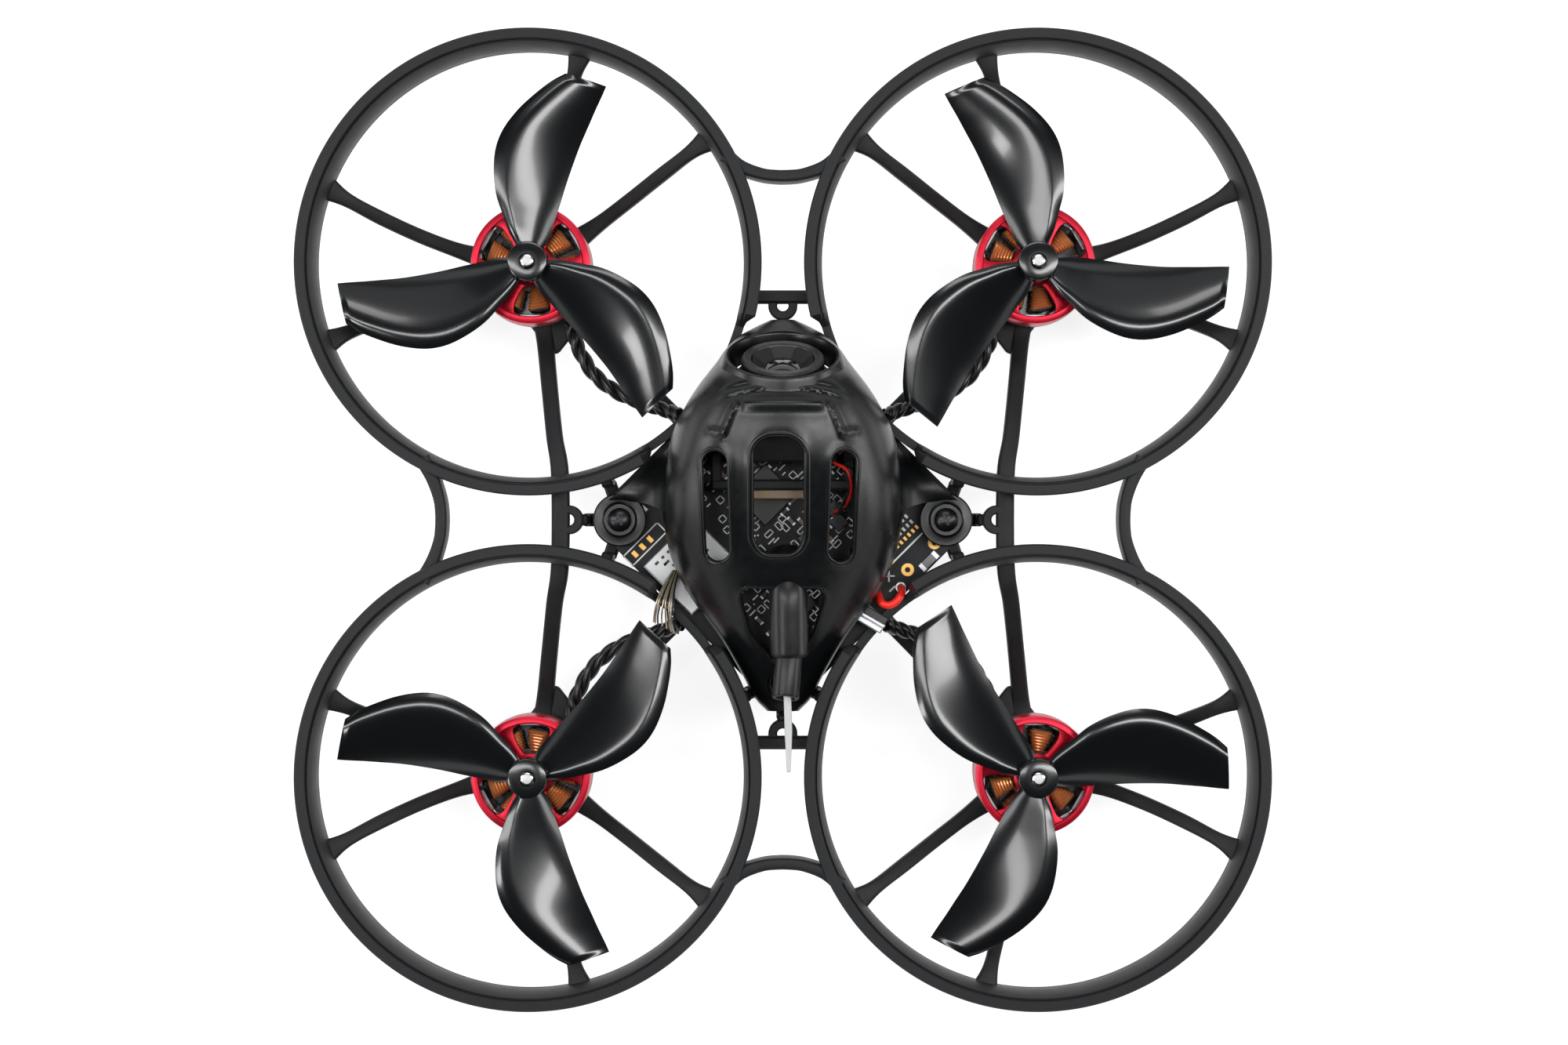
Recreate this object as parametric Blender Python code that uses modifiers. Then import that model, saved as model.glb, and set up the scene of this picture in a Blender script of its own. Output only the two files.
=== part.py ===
"""Ducted micro FPV racing drone, modelled as an assembly of separate pieces.

Axes: +X right, +Y forward (the nose), +Z up. Units are metres. The origin is on
the surface that the drone stands on, under the middle of the airframe.
"""
import math

import bmesh
import bpy
from mathutils import Matrix, Vector

MM = 0.001

# ---- driving dimensions, in millimetres -------------------------------------
MOTOR_X, MOTOR_Y = 28.4, 28.75          # motor centres from the middle
MOTORS = {                              # name: (x side, y side, spin, blade angle)
    "front_left": (-1, 1, 1, 2.3),
    "front_right": (1, 1, -1, 2.7),
    "rear_left": (-1, -1, -1, 58.7),
    "rear_right": (1, -1, 1, -67.5),
}

DUCT_TOP, DUCT_BOTTOM = 22.2, 16.0      # heights of a duct's lip and lower edge
DUCT_LIP_R, DUCT_WALL_R, DUCT_BORE_R = 26.05, 25.0, 24.0
DIP_TOP = 17.0                          # duct height where canopy or board overhang it
FRONT_DIP = (216.5, 19.0)               # middle angle seen from the motor, and width
REAR_DIP = (225.3, 9.2)
DUCT_SIDES = 32

PLATE_TOP, PLATE_BOTTOM = 9.9, 8.3      # motor mounting plate
PLATE_R = 6.6
ARM_WIDTH = 1.75
BAR_X = 25.2                            # side bars between front and rear ducts

MOUNT_R = 18.38                         # 26 x 26 mm mounting pattern, as a diamond
MOUNTS = {"front": (0.0, MOUNT_R), "rear": (0.0, -MOUNT_R),
          "left": (-MOUNT_R, 0.0), "right": (MOUNT_R, 0.0)}
LUG_R = 24.2                            # lacing eyes outside the four bosses
BOSS_RADIUS, BOSS_TOP = 3.0, 11.8
DECK_TOP, DECK_BOTTOM = 10.4, 9.0
TRAY_INSIDE, TRAY_WALL, TRAY_LENGTH = 17.8, 1.2, 20.0

SCREW_HOLE_R = 1.0
CLEARANCE = 0.3                         # gap between pieces that touch

BOARD_SIDE, BOARD_BOTTOM, BOARD_TOP = 31.4, 13.8, 14.8
EAR_BOTTOM, EAR_TOP, EAR_R = 16.5, 17.5, 3.0
RIM_Z = 17.3                            # lower edge of the canopy's dome
SHELL = 0.8

CAMERA_TILT = math.radians(27.0)
CAMERA_PIVOT = (0.0, 10.8, 22.1)
CAMERA_SIDE, CAMERA_DEPTH = 12.0, 4.5
LENS_REACH = 8.0                        # from the pivot to the front of the lens ring
LENS_RING_R, SNOUT_R, SNOUT_BORE_R = 4.6, 7.0, 5.9

BELL_R, BELL_BOTTOM, BELL_TOP = 6.75, 11.8, 18.2
HUB_R, HUB_BOTTOM, HUB_TOP = 2.2, 18.5, 23.0
SHAFT_R = 0.75


# ---- materials ---------------------------------------------------------------
def material(name, colour, roughness, metallic=0.0):
    """A Principled BSDF material."""
    made = bpy.data.materials.new(name)
    made.use_nodes = True
    shader = made.node_tree.nodes["Principled BSDF"]
    shader.inputs["Base Color"].default_value = (*colour, 1.0)
    shader.inputs["Roughness"].default_value = roughness
    shader.inputs["Metallic"].default_value = metallic
    made.diffuse_color = (*colour, 1.0)
    return made


def clear_scene():
    """Remove every object that the file starts with."""
    for item in list(bpy.data.objects):
        bpy.data.objects.remove(item, do_unlink=True)


def new_collection(name):
    """A collection linked to the scene."""
    made = bpy.data.collections.new(name)
    bpy.context.scene.collection.children.link(made)
    return made


clear_scene()
DRONE = new_collection("fpv_racing_drone")
CUTTERS = new_collection("cutters")

NYLON = material("moulded_nylon_black", (0.018, 0.019, 0.021), 0.55)
CANOPY_BLACK = material("canopy_polypropylene_black", (0.022, 0.023, 0.025), 0.48)
PROP_BLACK = material("propeller_polycarbonate_black", (0.006, 0.007, 0.009), 0.16)
ANODISED = material("anodised_aluminium_red", (0.62, 0.012, 0.045), 0.32, 0.9)
STEEL = material("shaft_steel", (0.62, 0.62, 0.63), 0.25, 1.0)
COPPER = material("winding_copper", (0.55, 0.19, 0.07), 0.3, 1.0)
MAGNET = material("magnet_nickel", (0.35, 0.35, 0.36), 0.35, 1.0)
DARK_METAL = material("blackened_aluminium", (0.03, 0.03, 0.032), 0.4, 0.8)
SCREW_BLACK = material("screw_black_oxide", (0.02, 0.02, 0.02), 0.35, 0.9)
RUBBER = material("rubber_black", (0.012, 0.012, 0.013), 0.75)
CIRCUIT = material("solder_mask_black", (0.008, 0.009, 0.011), 0.35)
SHIELD = material("shield_white", (0.75, 0.76, 0.77), 0.4, 0.2)
TINNED = material("tinned_wire", (0.45, 0.4, 0.33), 0.4, 0.9)
SILVER = material("connector_nickel", (0.6, 0.61, 0.63), 0.3, 1.0)
RED_LEAD = material("silicone_red", (0.75, 0.02, 0.015), 0.45)
BLACK_LEAD = material("silicone_black", (0.015, 0.015, 0.016), 0.5)
PLUG_BLACK = material("plug_nylon_black", (0.03, 0.03, 0.03), 0.5)
GLASS = material("lens_glass", (0.02, 0.025, 0.03), 0.05)
WHITE_TIP = material("antenna_white", (0.8, 0.8, 0.8), 0.35)
BUTTON = material("button_plastic", (0.25, 0.25, 0.25), 0.5)


# ---- modelling helpers, sizes in millimetres ---------------------------------
def add_object(name, mesh, finish=None):
    """Link a mesh as an object; without a finish it is a construction solid."""
    made = bpy.data.objects.new(name, mesh)
    (DRONE if finish else CUTTERS).objects.link(made)
    if finish:
        mesh.materials.append(finish)
    else:
        made.display_type = "WIRE"
        made.hide_render = True
    return made


def from_bmesh(name, shape, finish):
    """Turn a bmesh in millimetres into an object in metres."""
    bmesh.ops.scale(shape, vec=(MM, MM, MM), verts=shape.verts)
    mesh = bpy.data.meshes.new(name)
    shape.to_mesh(mesh)
    shape.free()
    return add_object(name, mesh, finish)


def box(name, centre, size, finish=None, turn=0.0, tilt=0.0):
    """A box turned about Z, after a tilt about X."""
    shape = bmesh.new()
    bmesh.ops.create_cube(shape, size=1.0)
    place = (Matrix.Translation(centre) @ Matrix.Rotation(turn, 4, "Z")
             @ Matrix.Rotation(tilt, 4, "X") @ Matrix.Diagonal((*size, 1.0)))
    bmesh.ops.transform(shape, matrix=place, verts=shape.verts)
    return from_bmesh(name, shape, finish)


def cylinder(name, centre, radius, height, finish=None, sides=16, aim=(0.0, 0.0, 1.0)):
    """A capped cylinder around its centre, pointing along aim; flats face its axes."""
    shape = bmesh.new()
    bmesh.ops.create_cone(shape, cap_ends=True, segments=sides,
                          radius1=radius, radius2=radius, depth=height)
    turn = Vector(aim).to_track_quat("Z", "Y").to_matrix().to_4x4()
    half_step = Matrix.Rotation(math.pi / sides, 4, "Z")
    bmesh.ops.transform(shape, matrix=Matrix.Translation(centre) @ turn @ half_step,
                        verts=shape.verts)
    return from_bmesh(name, shape, finish)


def disc(name, x, y, radius, bottom, top, finish=None, sides=16):
    """An upright cylinder between two heights."""
    return cylinder(name, (x, y, (bottom + top) / 2), radius, top - bottom, finish, sides)


def turned(name, profile, finish=None, sides=32, centre=(0.0, 0.0, 0.0), aim=(0.0, 0.0, 1.0)):
    """A closed (radius, height) profile, running down its outer side, spun about an axis.

    A point on the axis itself is shared by all the steps, so such an end is closed.
    """
    mesh = bpy.data.meshes.new(name)
    points = [(radius * MM, 0.0, height * MM) for radius, height in profile]
    count = len(points)
    on_axis = [i for i, (radius, height) in enumerate(profile) if radius == 0.0]
    edges = [(i, (i + 1) % count) for i in range(count)
             if not (i in on_axis and (i + 1) % count in on_axis)]
    mesh.from_pydata(points, edges, [])
    made = add_object(name, mesh, finish)
    spin = made.modifiers.new("spin", "SCREW")
    spin.axis = "Z"
    spin.steps = sides
    spin.render_steps = sides
    spin.use_merge_vertices = True
    spin.merge_threshold = 0.000001
    made.location = Vector(centre) * MM
    made.rotation_euler = Vector(aim).to_track_quat("Z", "Y").to_euler()
    return made


def sheet(name, rows, thickness, finish=None, offset=0.0):
    """A surface through rows of points, given a thickness."""
    mesh = bpy.data.meshes.new(name)
    count = len(rows[0])
    points = [Vector(point) * MM for row in rows for point in row]
    faces = [(r * count + c, r * count + c + 1, (r + 1) * count + c + 1, (r + 1) * count + c)
             for r in range(len(rows) - 1) for c in range(count - 1)]
    mesh.from_pydata(points, [], faces)
    made = add_object(name, mesh, finish)
    thicken = made.modifiers.new("thickness", "SOLIDIFY")
    thicken.thickness = thickness * MM
    thicken.offset = offset
    return made


def strut(name, path, widths, height, finish=None):
    """A bar of rectangular section along a path, with its own width at each point."""
    rows = []
    for i, point in enumerate(path):
        before = Vector(path[max(i - 1, 0)])
        after = Vector(path[min(i + 1, len(path) - 1)])
        along = after - before
        side = Vector((-along.y, along.x, 0.0)).normalized() * widths[i] / 2
        rows.append((Vector(point) - side, Vector(point) + side))
    return sheet(name, rows, height, finish)


def smooth_path(points, count):
    """Points at even steps along a smooth curve through the given points."""
    points = [Vector(point) for point in points]
    spans = len(points) - 1
    padded = [2 * points[0] - points[1], *points, 2 * points[-1] - points[-2]]
    made = []
    for step in range(count):
        at = step * spans / (count - 1)
        span = min(int(at), spans - 1)
        t = at - span
        a, b, c, d = padded[span:span + 4]
        made.append(0.5 * (2 * b + (c - a) * t + (2 * a - 5 * b + 4 * c - d) * t * t
                           + (3 * b - a - 3 * c + d) * t * t * t))
    return made


def wire(name, points, radius, finish, count=12, resolution=2):
    """A round wire along a smooth curve through the given points."""
    curve = bpy.data.curves.new(name, "CURVE")
    curve.dimensions = "3D"
    curve.bevel_depth = radius * MM
    curve.bevel_resolution = resolution
    curve.use_fill_caps = True
    path = smooth_path(points, count)
    line = curve.splines.new("POLY")
    line.points.add(len(path) - 1)
    for spot, point in zip(line.points, path):
        spot.co = (*(point * MM), 1.0)
    made = bpy.data.objects.new(name, curve)
    DRONE.objects.link(made)
    curve.materials.append(finish)
    return made


def outline(name, points, bottom, top, finish=None):
    """A flat plate of the given outline between two heights."""
    curve = bpy.data.curves.new(name, "CURVE")
    curve.dimensions = "2D"
    curve.fill_mode = "BOTH"
    curve.extrude = (top - bottom) / 2 * MM
    line = curve.splines.new("POLY")
    line.points.add(len(points) - 1)
    for spot, (x, y) in zip(line.points, points):
        spot.co = (x * MM, y * MM, 0.0, 1.0)
    line.use_cyclic_u = True
    drawn = bpy.data.objects.new(name + "_curve", curve)
    drawn.location.z = (bottom + top) / 2 * MM
    CUTTERS.objects.link(drawn)
    bpy.context.view_layer.update()
    ready = drawn.evaluated_get(bpy.context.evaluated_depsgraph_get())
    mesh = bpy.data.meshes.new_from_object(ready)
    mesh.transform(drawn.matrix_world)
    bpy.data.objects.remove(drawn, do_unlink=True)
    mesh.materials.clear()
    shape = bmesh.new()
    shape.from_mesh(mesh)
    bmesh.ops.remove_doubles(shape, verts=shape.verts, dist=0.000001)
    bmesh.ops.recalc_face_normals(shape, faces=shape.faces)
    shape.to_mesh(mesh)
    shape.free()
    return add_object(name, mesh, finish)


def rounded_outline(corners, radius, steps=4):
    """An outline with each corner rounded by an arc."""
    made = []
    count = len(corners)
    for i, corner in enumerate(corners):
        corner = Vector(corner)
        back = (Vector(corners[i - 1]) - corner).normalized()
        ahead = (Vector(corners[(i + 1) % count]) - corner).normalized()
        half = back.angle(ahead) / 2
        centre = corner + (back + ahead).normalized() * radius / math.sin(half)
        start = corner + back * radius / math.tan(half) - centre
        end = corner + ahead * radius / math.tan(half) - centre
        sweep = start.angle_signed(end)
        for step in range(steps + 1):
            turn = Matrix.Rotation(-sweep * step / steps, 2)
            made.append(tuple(centre + turn @ start))
    return made


def slot_outline(points, half_width, steps=5):
    """The outline of a slot with round ends along a straight line between two points."""
    a, b = Vector(points[0]), Vector(points[1])
    aim = math.atan2(b.y - a.y, b.x - a.x)
    made = []
    for end, first in ((b, aim - math.pi / 2), (a, aim + math.pi / 2)):
        for step in range(steps + 1):
            angle = first + math.pi * step / steps
            made.append((end.x + half_width * math.cos(angle),
                         end.y + half_width * math.sin(angle)))
    return made


def group(name, pieces):
    """Put construction solids in a collection of their own."""
    made = bpy.data.collections.new(name)
    CUTTERS.children.link(made)
    for piece in pieces:
        for old in list(piece.users_collection):
            old.objects.unlink(piece)
        made.objects.link(piece)
    return made


def combine(target, pieces, operation):
    """Join pieces to a solid, or cut them out of it."""
    step = target.modifiers.new(operation.lower(), "BOOLEAN")
    step.operation = operation
    step.solver = "EXACT"
    step.operand_type = "COLLECTION"
    step.collection = group(f"{target.name}_{operation.lower()}", pieces)
    return target


def polar(centre, radius, degrees):
    """The point at a radius and an angle around a centre."""
    angle = math.radians(degrees)
    return centre[0] + radius * math.cos(angle), centre[1] + radius * math.sin(angle)


def shade(made, angle=35.0):
    """Smooth shading with sharp edges kept."""
    made.data.shade_smooth()
    made.data.set_sharp_from_angle(angle=math.radians(angle))
    return made


# ---- the moulded frame ---------------------------------------------------------
SPOKES = ((20.6, 12.0), (103.2, 100.0), (144.8, 144.0), (-20.8, -16.0))  # tip, root angles
SPOKE_RADII = (4.8, 9.0, 13.5, 18.0, 22.0, 24.6)
SPOKE_HEIGHTS = (9.1, 9.4, 11.2, 14.0, 16.2, 16.9)
SPOKE_WIDTHS = (2.6, 1.9, 1.65, 1.65, 1.9, 2.8)
CORNERS = ((-1, 1), (1, 1), (-1, -1), (1, -1))


def duct(name, centre):
    """One ring duct: outer lip, bell-mouth shoulder and thin wall."""
    profile = ((DUCT_LIP_R, DUCT_TOP), (DUCT_LIP_R, DUCT_TOP - 1.4),
               (DUCT_WALL_R, DUCT_TOP - 2.2), (DUCT_WALL_R, DUCT_BOTTOM),
               (DUCT_BORE_R, DUCT_BOTTOM), (DUCT_BORE_R, DUCT_TOP - 2.4),
               (DUCT_BORE_R + 0.7, DUCT_TOP))
    return turned(name, profile, sides=DUCT_SIDES, centre=(*centre, 0.0))


def spoke_path(tip_angle, root_angle):
    """The rise of a spoke from the motor plate to the duct's lower edge."""
    path = []
    for radius, height in zip(SPOKE_RADII, SPOKE_HEIGHTS):
        share = (radius - SPOKE_RADII[0]) / (SPOKE_RADII[-1] - SPOKE_RADII[0])
        angle = root_angle + (tip_angle - root_angle) * share
        path.append((*polar((MOTOR_X, MOTOR_Y), radius, angle), height))
    return path


def web(name, boss, centre):
    """An upright web between a mounting boss and the nearest duct."""
    aim = Vector(centre) - Vector(boss)
    reach = aim.length - (DUCT_WALL_R + DUCT_BORE_R) / 2
    aim.normalize()
    turn = math.atan2(aim.y, aim.x)
    parts = []
    for part, start, end, width, bottom, top in (("foot", 2.0, 4.6, 1.5, 9.05, BOSS_TOP - 0.1),
                                                 ("post", 3.95, reach, 1.3, 9.2, 17.2)):
        middle = Vector(boss) + aim * (start + end) / 2
        parts.append(box(f"{name}_{part}", (*middle, (bottom + top) / 2),
                         (end - start, width, top - bottom), turn=turn))
    return parts


def eye_bridge(name, boss):
    """The rib between a mounting boss and its lacing eye."""
    out = Vector(boss).normalized()
    turn = math.atan2(out.y, out.x)
    parts = []
    for part, start, end, width, bottom, top in (("foot", 20.3, 22.8, 1.5, 9.1, BOSS_TOP - 0.2),
                                                 ("post", 21.95, 23.4, 1.3, 9.3, 15.9)):
        parts.append(box(f"{name}_{part}", (*(out * (start + end) / 2), (bottom + top) / 2),
                         (end - start, width, top - bottom), turn=turn))
    return parts


def mirrored(path, x_side, y_side):
    """A path moved to another quarter of the airframe."""
    return [(x_side * point[0], y_side * point[1], *point[2:]) for point in path]


def both_ways(path, x_side, y_side):
    """A path on one side of a mirror line, followed by its reflection."""
    return mirrored(path[::-1], x_side, y_side) + list(path)


def frame_corner(x_side, y_side):
    """One duct with its motor plate, spokes, inner arm and webs."""
    motor = (x_side * MOTOR_X, y_side * MOTOR_Y)
    tag = f"{x_side}_{y_side}"
    parts = [duct(f"duct_{tag}", motor)]
    parts.append(disc(f"motor_plate_{tag}", *motor, PLATE_R, PLATE_BOTTOM, PLATE_TOP, sides=20))
    gusset = [polar((MOTOR_X, MOTOR_Y), radius, angle)
              for radius, angle in ((5.6, 205), (9.4, 221), (8.6, 240), (10.4, 258), (5.6, 285))]
    parts.append(outline(f"gusset_{tag}", mirrored(gusset, x_side, y_side),
                         PLATE_BOTTOM + 0.1, PLATE_TOP - 0.1))
    for i, (tip, root) in enumerate(SPOKES):
        parts.append(strut(f"spoke_{tag}_{i}", mirrored(spoke_path(tip, root), x_side, y_side),
                           SPOKE_WIDTHS, 1.6))
    arm = ((24.4, 24.3, 9.1), (20.5, 20.2, 9.2), (16.0, 15.7, 9.5), (11.9, 11.6, 9.7),
           (8.4, 8.2, 9.7))
    parts.append(strut(f"inner_arm_{tag}", mirrored(arm, x_side, y_side),
                       (2.8, 1.9, ARM_WIDTH, ARM_WIDTH, 2.6), 1.3))
    parts += web(f"side_web_{tag}", (x_side * MOUNT_R, 0.0), motor)
    parts += web(f"end_web_{tag}", (0.0, y_side * MOUNT_R), motor)
    return parts


def frame_middle():
    """Bosses, lacing eyes, side bars, ties and the battery tray."""
    parts = []
    for name, (x, y) in MOUNTS.items():
        parts.append(disc(f"boss_{name}", x, y, BOSS_RADIUS, DECK_BOTTOM - 0.1, BOSS_TOP))
        parts += eye_bridge(f"bridge_{name}", (x, y))
        eye = Vector((x, y)).normalized() * LUG_R
        parts.append(disc(f"eye_{name}", *eye, 1.65, 14.7, 16.7, sides=12))
    bar = ((BAR_X, 4.9, 15.6), (25.9, 9.5, 14.4), (26.7, 15.5, 11.4), (27.3, 20.5, 9.15),
           (27.7, 24.6, 8.9))
    bar_widths = (2.0, 1.85, 1.85, 2.0, 2.8)
    tie_widths = (1.3, 1.3, 1.45, 1.8)
    end_tie = ((0.9, 38.37, 19.6), (2.5, 38.6, 19.6), (4.7, 39.4, 19.6), (6.5, 40.7, 19.6))
    side_tie = ((38.12, 0.9, 19.6), (38.35, 2.5, 19.6), (39.1, 4.7, 19.6), (40.2, 6.9, 19.6))
    for side in (-1, 1):
        parts.append(strut(f"side_bar_{side}", mirrored(both_ways(bar, 1, -1), side, 1),
                           bar_widths[::-1] + bar_widths, 1.9))
        parts.append(strut(f"side_tie_{side}", mirrored(both_ways(side_tie, 1, -1), side, 1),
                           tie_widths[::-1] + tie_widths, 4.4))
        parts.append(strut(f"end_tie_{side}", mirrored(both_ways(end_tie, -1, 1), 1, side),
                           tie_widths[::-1] + tie_widths, 4.4))
        parts.append(box(f"cross_piece_{side}", (0.0, side * (LUG_R + 0.95), 16.15), (8.4, 1.5, 1.6)))
        wall_x = side * (TRAY_INSIDE + TRAY_WALL) / 2
        parts.append(box(f"tray_wall_{side}", (wall_x, 0.0, 5.25), (TRAY_WALL, TRAY_LENGTH, 9.9)))
        parts.append(box(f"tray_floor_{side}", (0.0, side * (TRAY_LENGTH / 2 - 2.6), 0.6),
                         (TRAY_INSIDE + 2 * TRAY_WALL - 0.2, 4.8, 1.2)))
    return parts


def frame_holes():
    """Screw holes, lacing eyes, deck windows and the dips where the board overhangs."""
    holes = []
    for x_side, y_side in CORNERS:
        motor = (x_side * MOTOR_X, y_side * MOTOR_Y)
        tag = f"{x_side}_{y_side}"
        holes.append(disc(f"motor_hole_{tag}", *motor, 1.6, 7.0, 11.0, sides=10))
        for i in range(3):
            holes.append(disc(f"motor_screw_hole_{tag}_{i}", *polar(motor, 3.9, 75 + 120 * i),
                              0.75, 7.0, 11.0, sides=6))
        angle, width = FRONT_DIP if y_side > 0 else REAR_DIP
        middle = mirrored([polar((MOTOR_X, MOTOR_Y), 25.0, angle)], x_side, y_side)[0]
        holes.append(box(f"duct_dip_{tag}", (*middle, DIP_TOP + 3.0), (5.0, width, 6.0),
                         turn=math.radians(angle) * x_side * y_side))
        window = mirrored(((1.2, 1.2), (7.6, 1.2), (7.6, 6.4), (1.2, 6.4)), x_side, y_side)
        holes.append(outline(f"deck_window_{tag}", window, 8.0, 11.5))
    for name, (x, y) in MOUNTS.items():
        holes.append(disc(f"boss_hole_{name}", x, y, SCREW_HOLE_R, 8.0, 13.0, sides=12))
        eye = Vector((x, y)).normalized() * LUG_R
        holes.append(disc(f"eye_hole_{name}", *eye, 0.65, 13.0, 19.0, sides=10))
    holes.append(box("deck_lead_slot", (0.0, -13.9, 9.7), (6.4, 2.4, 4.0)))
    for side in (-1, 1):
        holes.append(box(f"tray_window_{side}", (side * (TRAY_INSIDE + TRAY_WALL) / 2, 0.0, 4.9),
                         (3.0, 8.6, 4.4)))
    return holes


def make_frame():
    """The one-piece airframe."""
    reach = MOUNT_R + 1.2
    deck = outline("frame", ((reach, 0.0), (0.0, reach), (-reach, 0.0), (0.0, -reach)),
                   DECK_BOTTOM, DECK_TOP, NYLON)
    parts = frame_middle()
    for x_side, y_side in CORNERS:
        parts += frame_corner(x_side, y_side)
    combine(deck, parts, "UNION")
    return combine(deck, frame_holes(), "DIFFERENCE")


# ---- motors and propellers ------------------------------------------------------
LEADING_EDGE = ((-1.0, 1.3), (-1.95, 3.4), (-2.55, 5.3), (-3.2, 7.6), (-3.35, 10.2), (-3.05, 12.7),
                (-2.1, 14.9), (-0.3, 17.1), (1.8, 18.9), (3.5, 20.1), (5.0, 20.85))
TRAILING_EDGE = ((1.3, 0.9), (2.3, 2.6), (2.95, 4.4), (3.7, 6.4), (4.5, 8.7), (5.4, 11.0),
                 (6.3, 13.1), (7.3, 15.1), (8.1, 16.7), (8.9, 18.2), (9.45, 19.3))
BLADE_STATIONS, BLADE_COLUMNS = 9, 2
BLADE_HEIGHT = 20.9


def blade_rows(stations, columns):
    """The blade's mid surface, from root to tip, for a propeller that spins anticlockwise."""
    lead = smooth_path([(x, y, 0.0) for x, y in LEADING_EDGE], stations)
    trail = smooth_path([(x, y, 0.0) for x, y in TRAILING_EDGE], stations)
    rows = []
    for i, (front, back) in enumerate(zip(lead, trail)):
        share = i / (stations - 1)
        pitch = math.radians(34.0 - 22.0 * share)
        chord = (front - back).length
        rise = chord * math.sin(pitch)
        row = []
        for j in range(columns + 1):
            across = j / columns
            point = front.lerp(back, across)
            camber = 0.09 * chord * math.sin(math.pi * across)
            point.z = BLADE_HEIGHT + rise * (0.5 - across) + camber
            row.append(point)
        rows.append(row)
    return rows


def make_propeller(name, centre, spin, phase):
    """Three swept blades on a hub; spin -1 mirrors it."""
    bore = SHAFT_R + CLEARANCE
    made = turned(f"prop_{name}", ((HUB_R - 0.25, HUB_TOP), (HUB_R, HUB_TOP - 0.25),
                                   (HUB_R, HUB_BOTTOM), (bore, HUB_BOTTOM), (bore, HUB_TOP)),
                  PROP_BLACK, sides=12, centre=(*centre, 0.0))
    blades = []
    for i in range(3):
        turn = Matrix.Rotation(math.radians(phase + 120.0 * i), 3, "Z")
        rows = [[turn @ Vector((spin * point.x, point.y, point.z)) for point in row]
                for row in blade_rows(BLADE_STATIONS, BLADE_COLUMNS)]
        if spin < 0:
            rows = [row[::-1] for row in rows]
        blade = sheet(f"blade_{name}_{i}", rows, 0.75)
        blade.location = (centre[0] * MM, centre[1] * MM, 0.0)
        blades.append(blade)
    combine(made, blades, "UNION")
    clear = disc(f"shaft_bore_{name}", *centre, bore, HUB_BOTTOM - 1, HUB_TOP + 1, sides=12)
    return combine(made, [clear], "DIFFERENCE")


def make_bell(name, centre, phase):
    """The rotor can with six windows in its top."""
    made = turned(f"bell_{name}", ((BELL_R - 0.3, BELL_TOP), (BELL_R, BELL_TOP - 0.3),
                                   (BELL_R, BELL_BOTTOM), (BELL_R - 0.4, BELL_BOTTOM),
                                   (BELL_R - 0.4, BELL_TOP - 1.2), (SHAFT_R + CLEARANCE, BELL_TOP - 1.2),
                                   (SHAFT_R + CLEARANCE, BELL_TOP)),
                  ANODISED, sides=18, centre=(*centre, 0.0))
    windows = []
    for i in range(6):
        middle = polar((0.0, 0.0), 4.05, 60.0 * i + phase + 30.0)
        aim = math.radians(60.0 * i + phase + 30.0)
        corners = [Vector((-1.55, -0.75)), Vector((1.35, -1.75)), Vector((1.65, 0.0)),
                   Vector((1.35, 1.75)), Vector((-1.55, 0.75))]
        shape = [(Matrix.Rotation(aim, 2) @ corner) + Vector(middle) + Vector(centre)
                 for corner in corners]
        windows.append(outline(f"window_{name}_{i}", [tuple(p) for p in shape],
                               BELL_TOP - 2.5, BELL_TOP + 1.0))
    return combine(made, windows, "DIFFERENCE")


def make_stator(name, centre):
    """Laminated core and windings: nine rounded poles around the bearing tube."""
    made = turned(f"stator_{name}", ((2.9, 15.9), (2.9, 12.2), (2.0, 12.2), (2.0, 15.9)),
                  COPPER, sides=12, centre=(*centre, 0.0))
    poles = []
    for i in range(9):
        aim = math.radians(40.0 * i)
        middle = polar(centre, 3.9, 40.0 * i)
        poles.append(box(f"pole_{name}_{i}", (*middle, 14.05), (2.6, 1.5, 3.3), turn=aim))
    return combine(made, poles, "UNION")


def make_motor(name, x_side, y_side, spin, phase):
    """One brushless motor with its propeller, at its own corner."""
    centre = (x_side * MOTOR_X, y_side * MOTOR_Y)
    bore = SHAFT_R + CLEARANCE
    turned(f"motor_base_{name}", ((1.65, 16.3), (1.65, 11.4), (5.6, 11.4), (6.1, 11.0), (6.1, 10.2),
                                  (bore, 10.2), (bore, 16.3)),
           DARK_METAL, sides=12, centre=(*centre, 0.0))
    make_stator(name, centre)
    turned(f"magnet_ring_{name}", ((6.05, 16.4), (6.05, 12.1), (5.5, 12.1), (5.5, 16.4)),
           MAGNET, sides=16, centre=(*centre, 0.0))
    make_bell(name, centre, phase)
    turned(f"motor_shaft_{name}", ((0.0, 23.4), (SHAFT_R - 0.12, 23.4), (SHAFT_R, 23.28),
                                   (SHAFT_R, 10.5), (0.0, 10.5)),
           STEEL, sides=12, centre=(*centre, 0.0))
    make_propeller(name, centre, spin, phase)
    route = ((24.2, 22.7, 10.8), (23.5, 19.9, 11.2), (21.6, 16.7, 11.6), (18.8, 14.5, 12.0),
             (15.6, 13.2, 12.4), (13.1, 12.4, 12.8), (11.7, 11.9, 13.4))
    wire(f"motor_wires_{name}", [(x_side * x, y_side * y, z) for x, y, z in route],
         0.75, BLACK_LEAD, count=12)


# ---- electronics ------------------------------------------------------------------
QUARTER_TURN = math.pi / 4
SOCKET_TURN = math.radians(-30.0)


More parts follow.
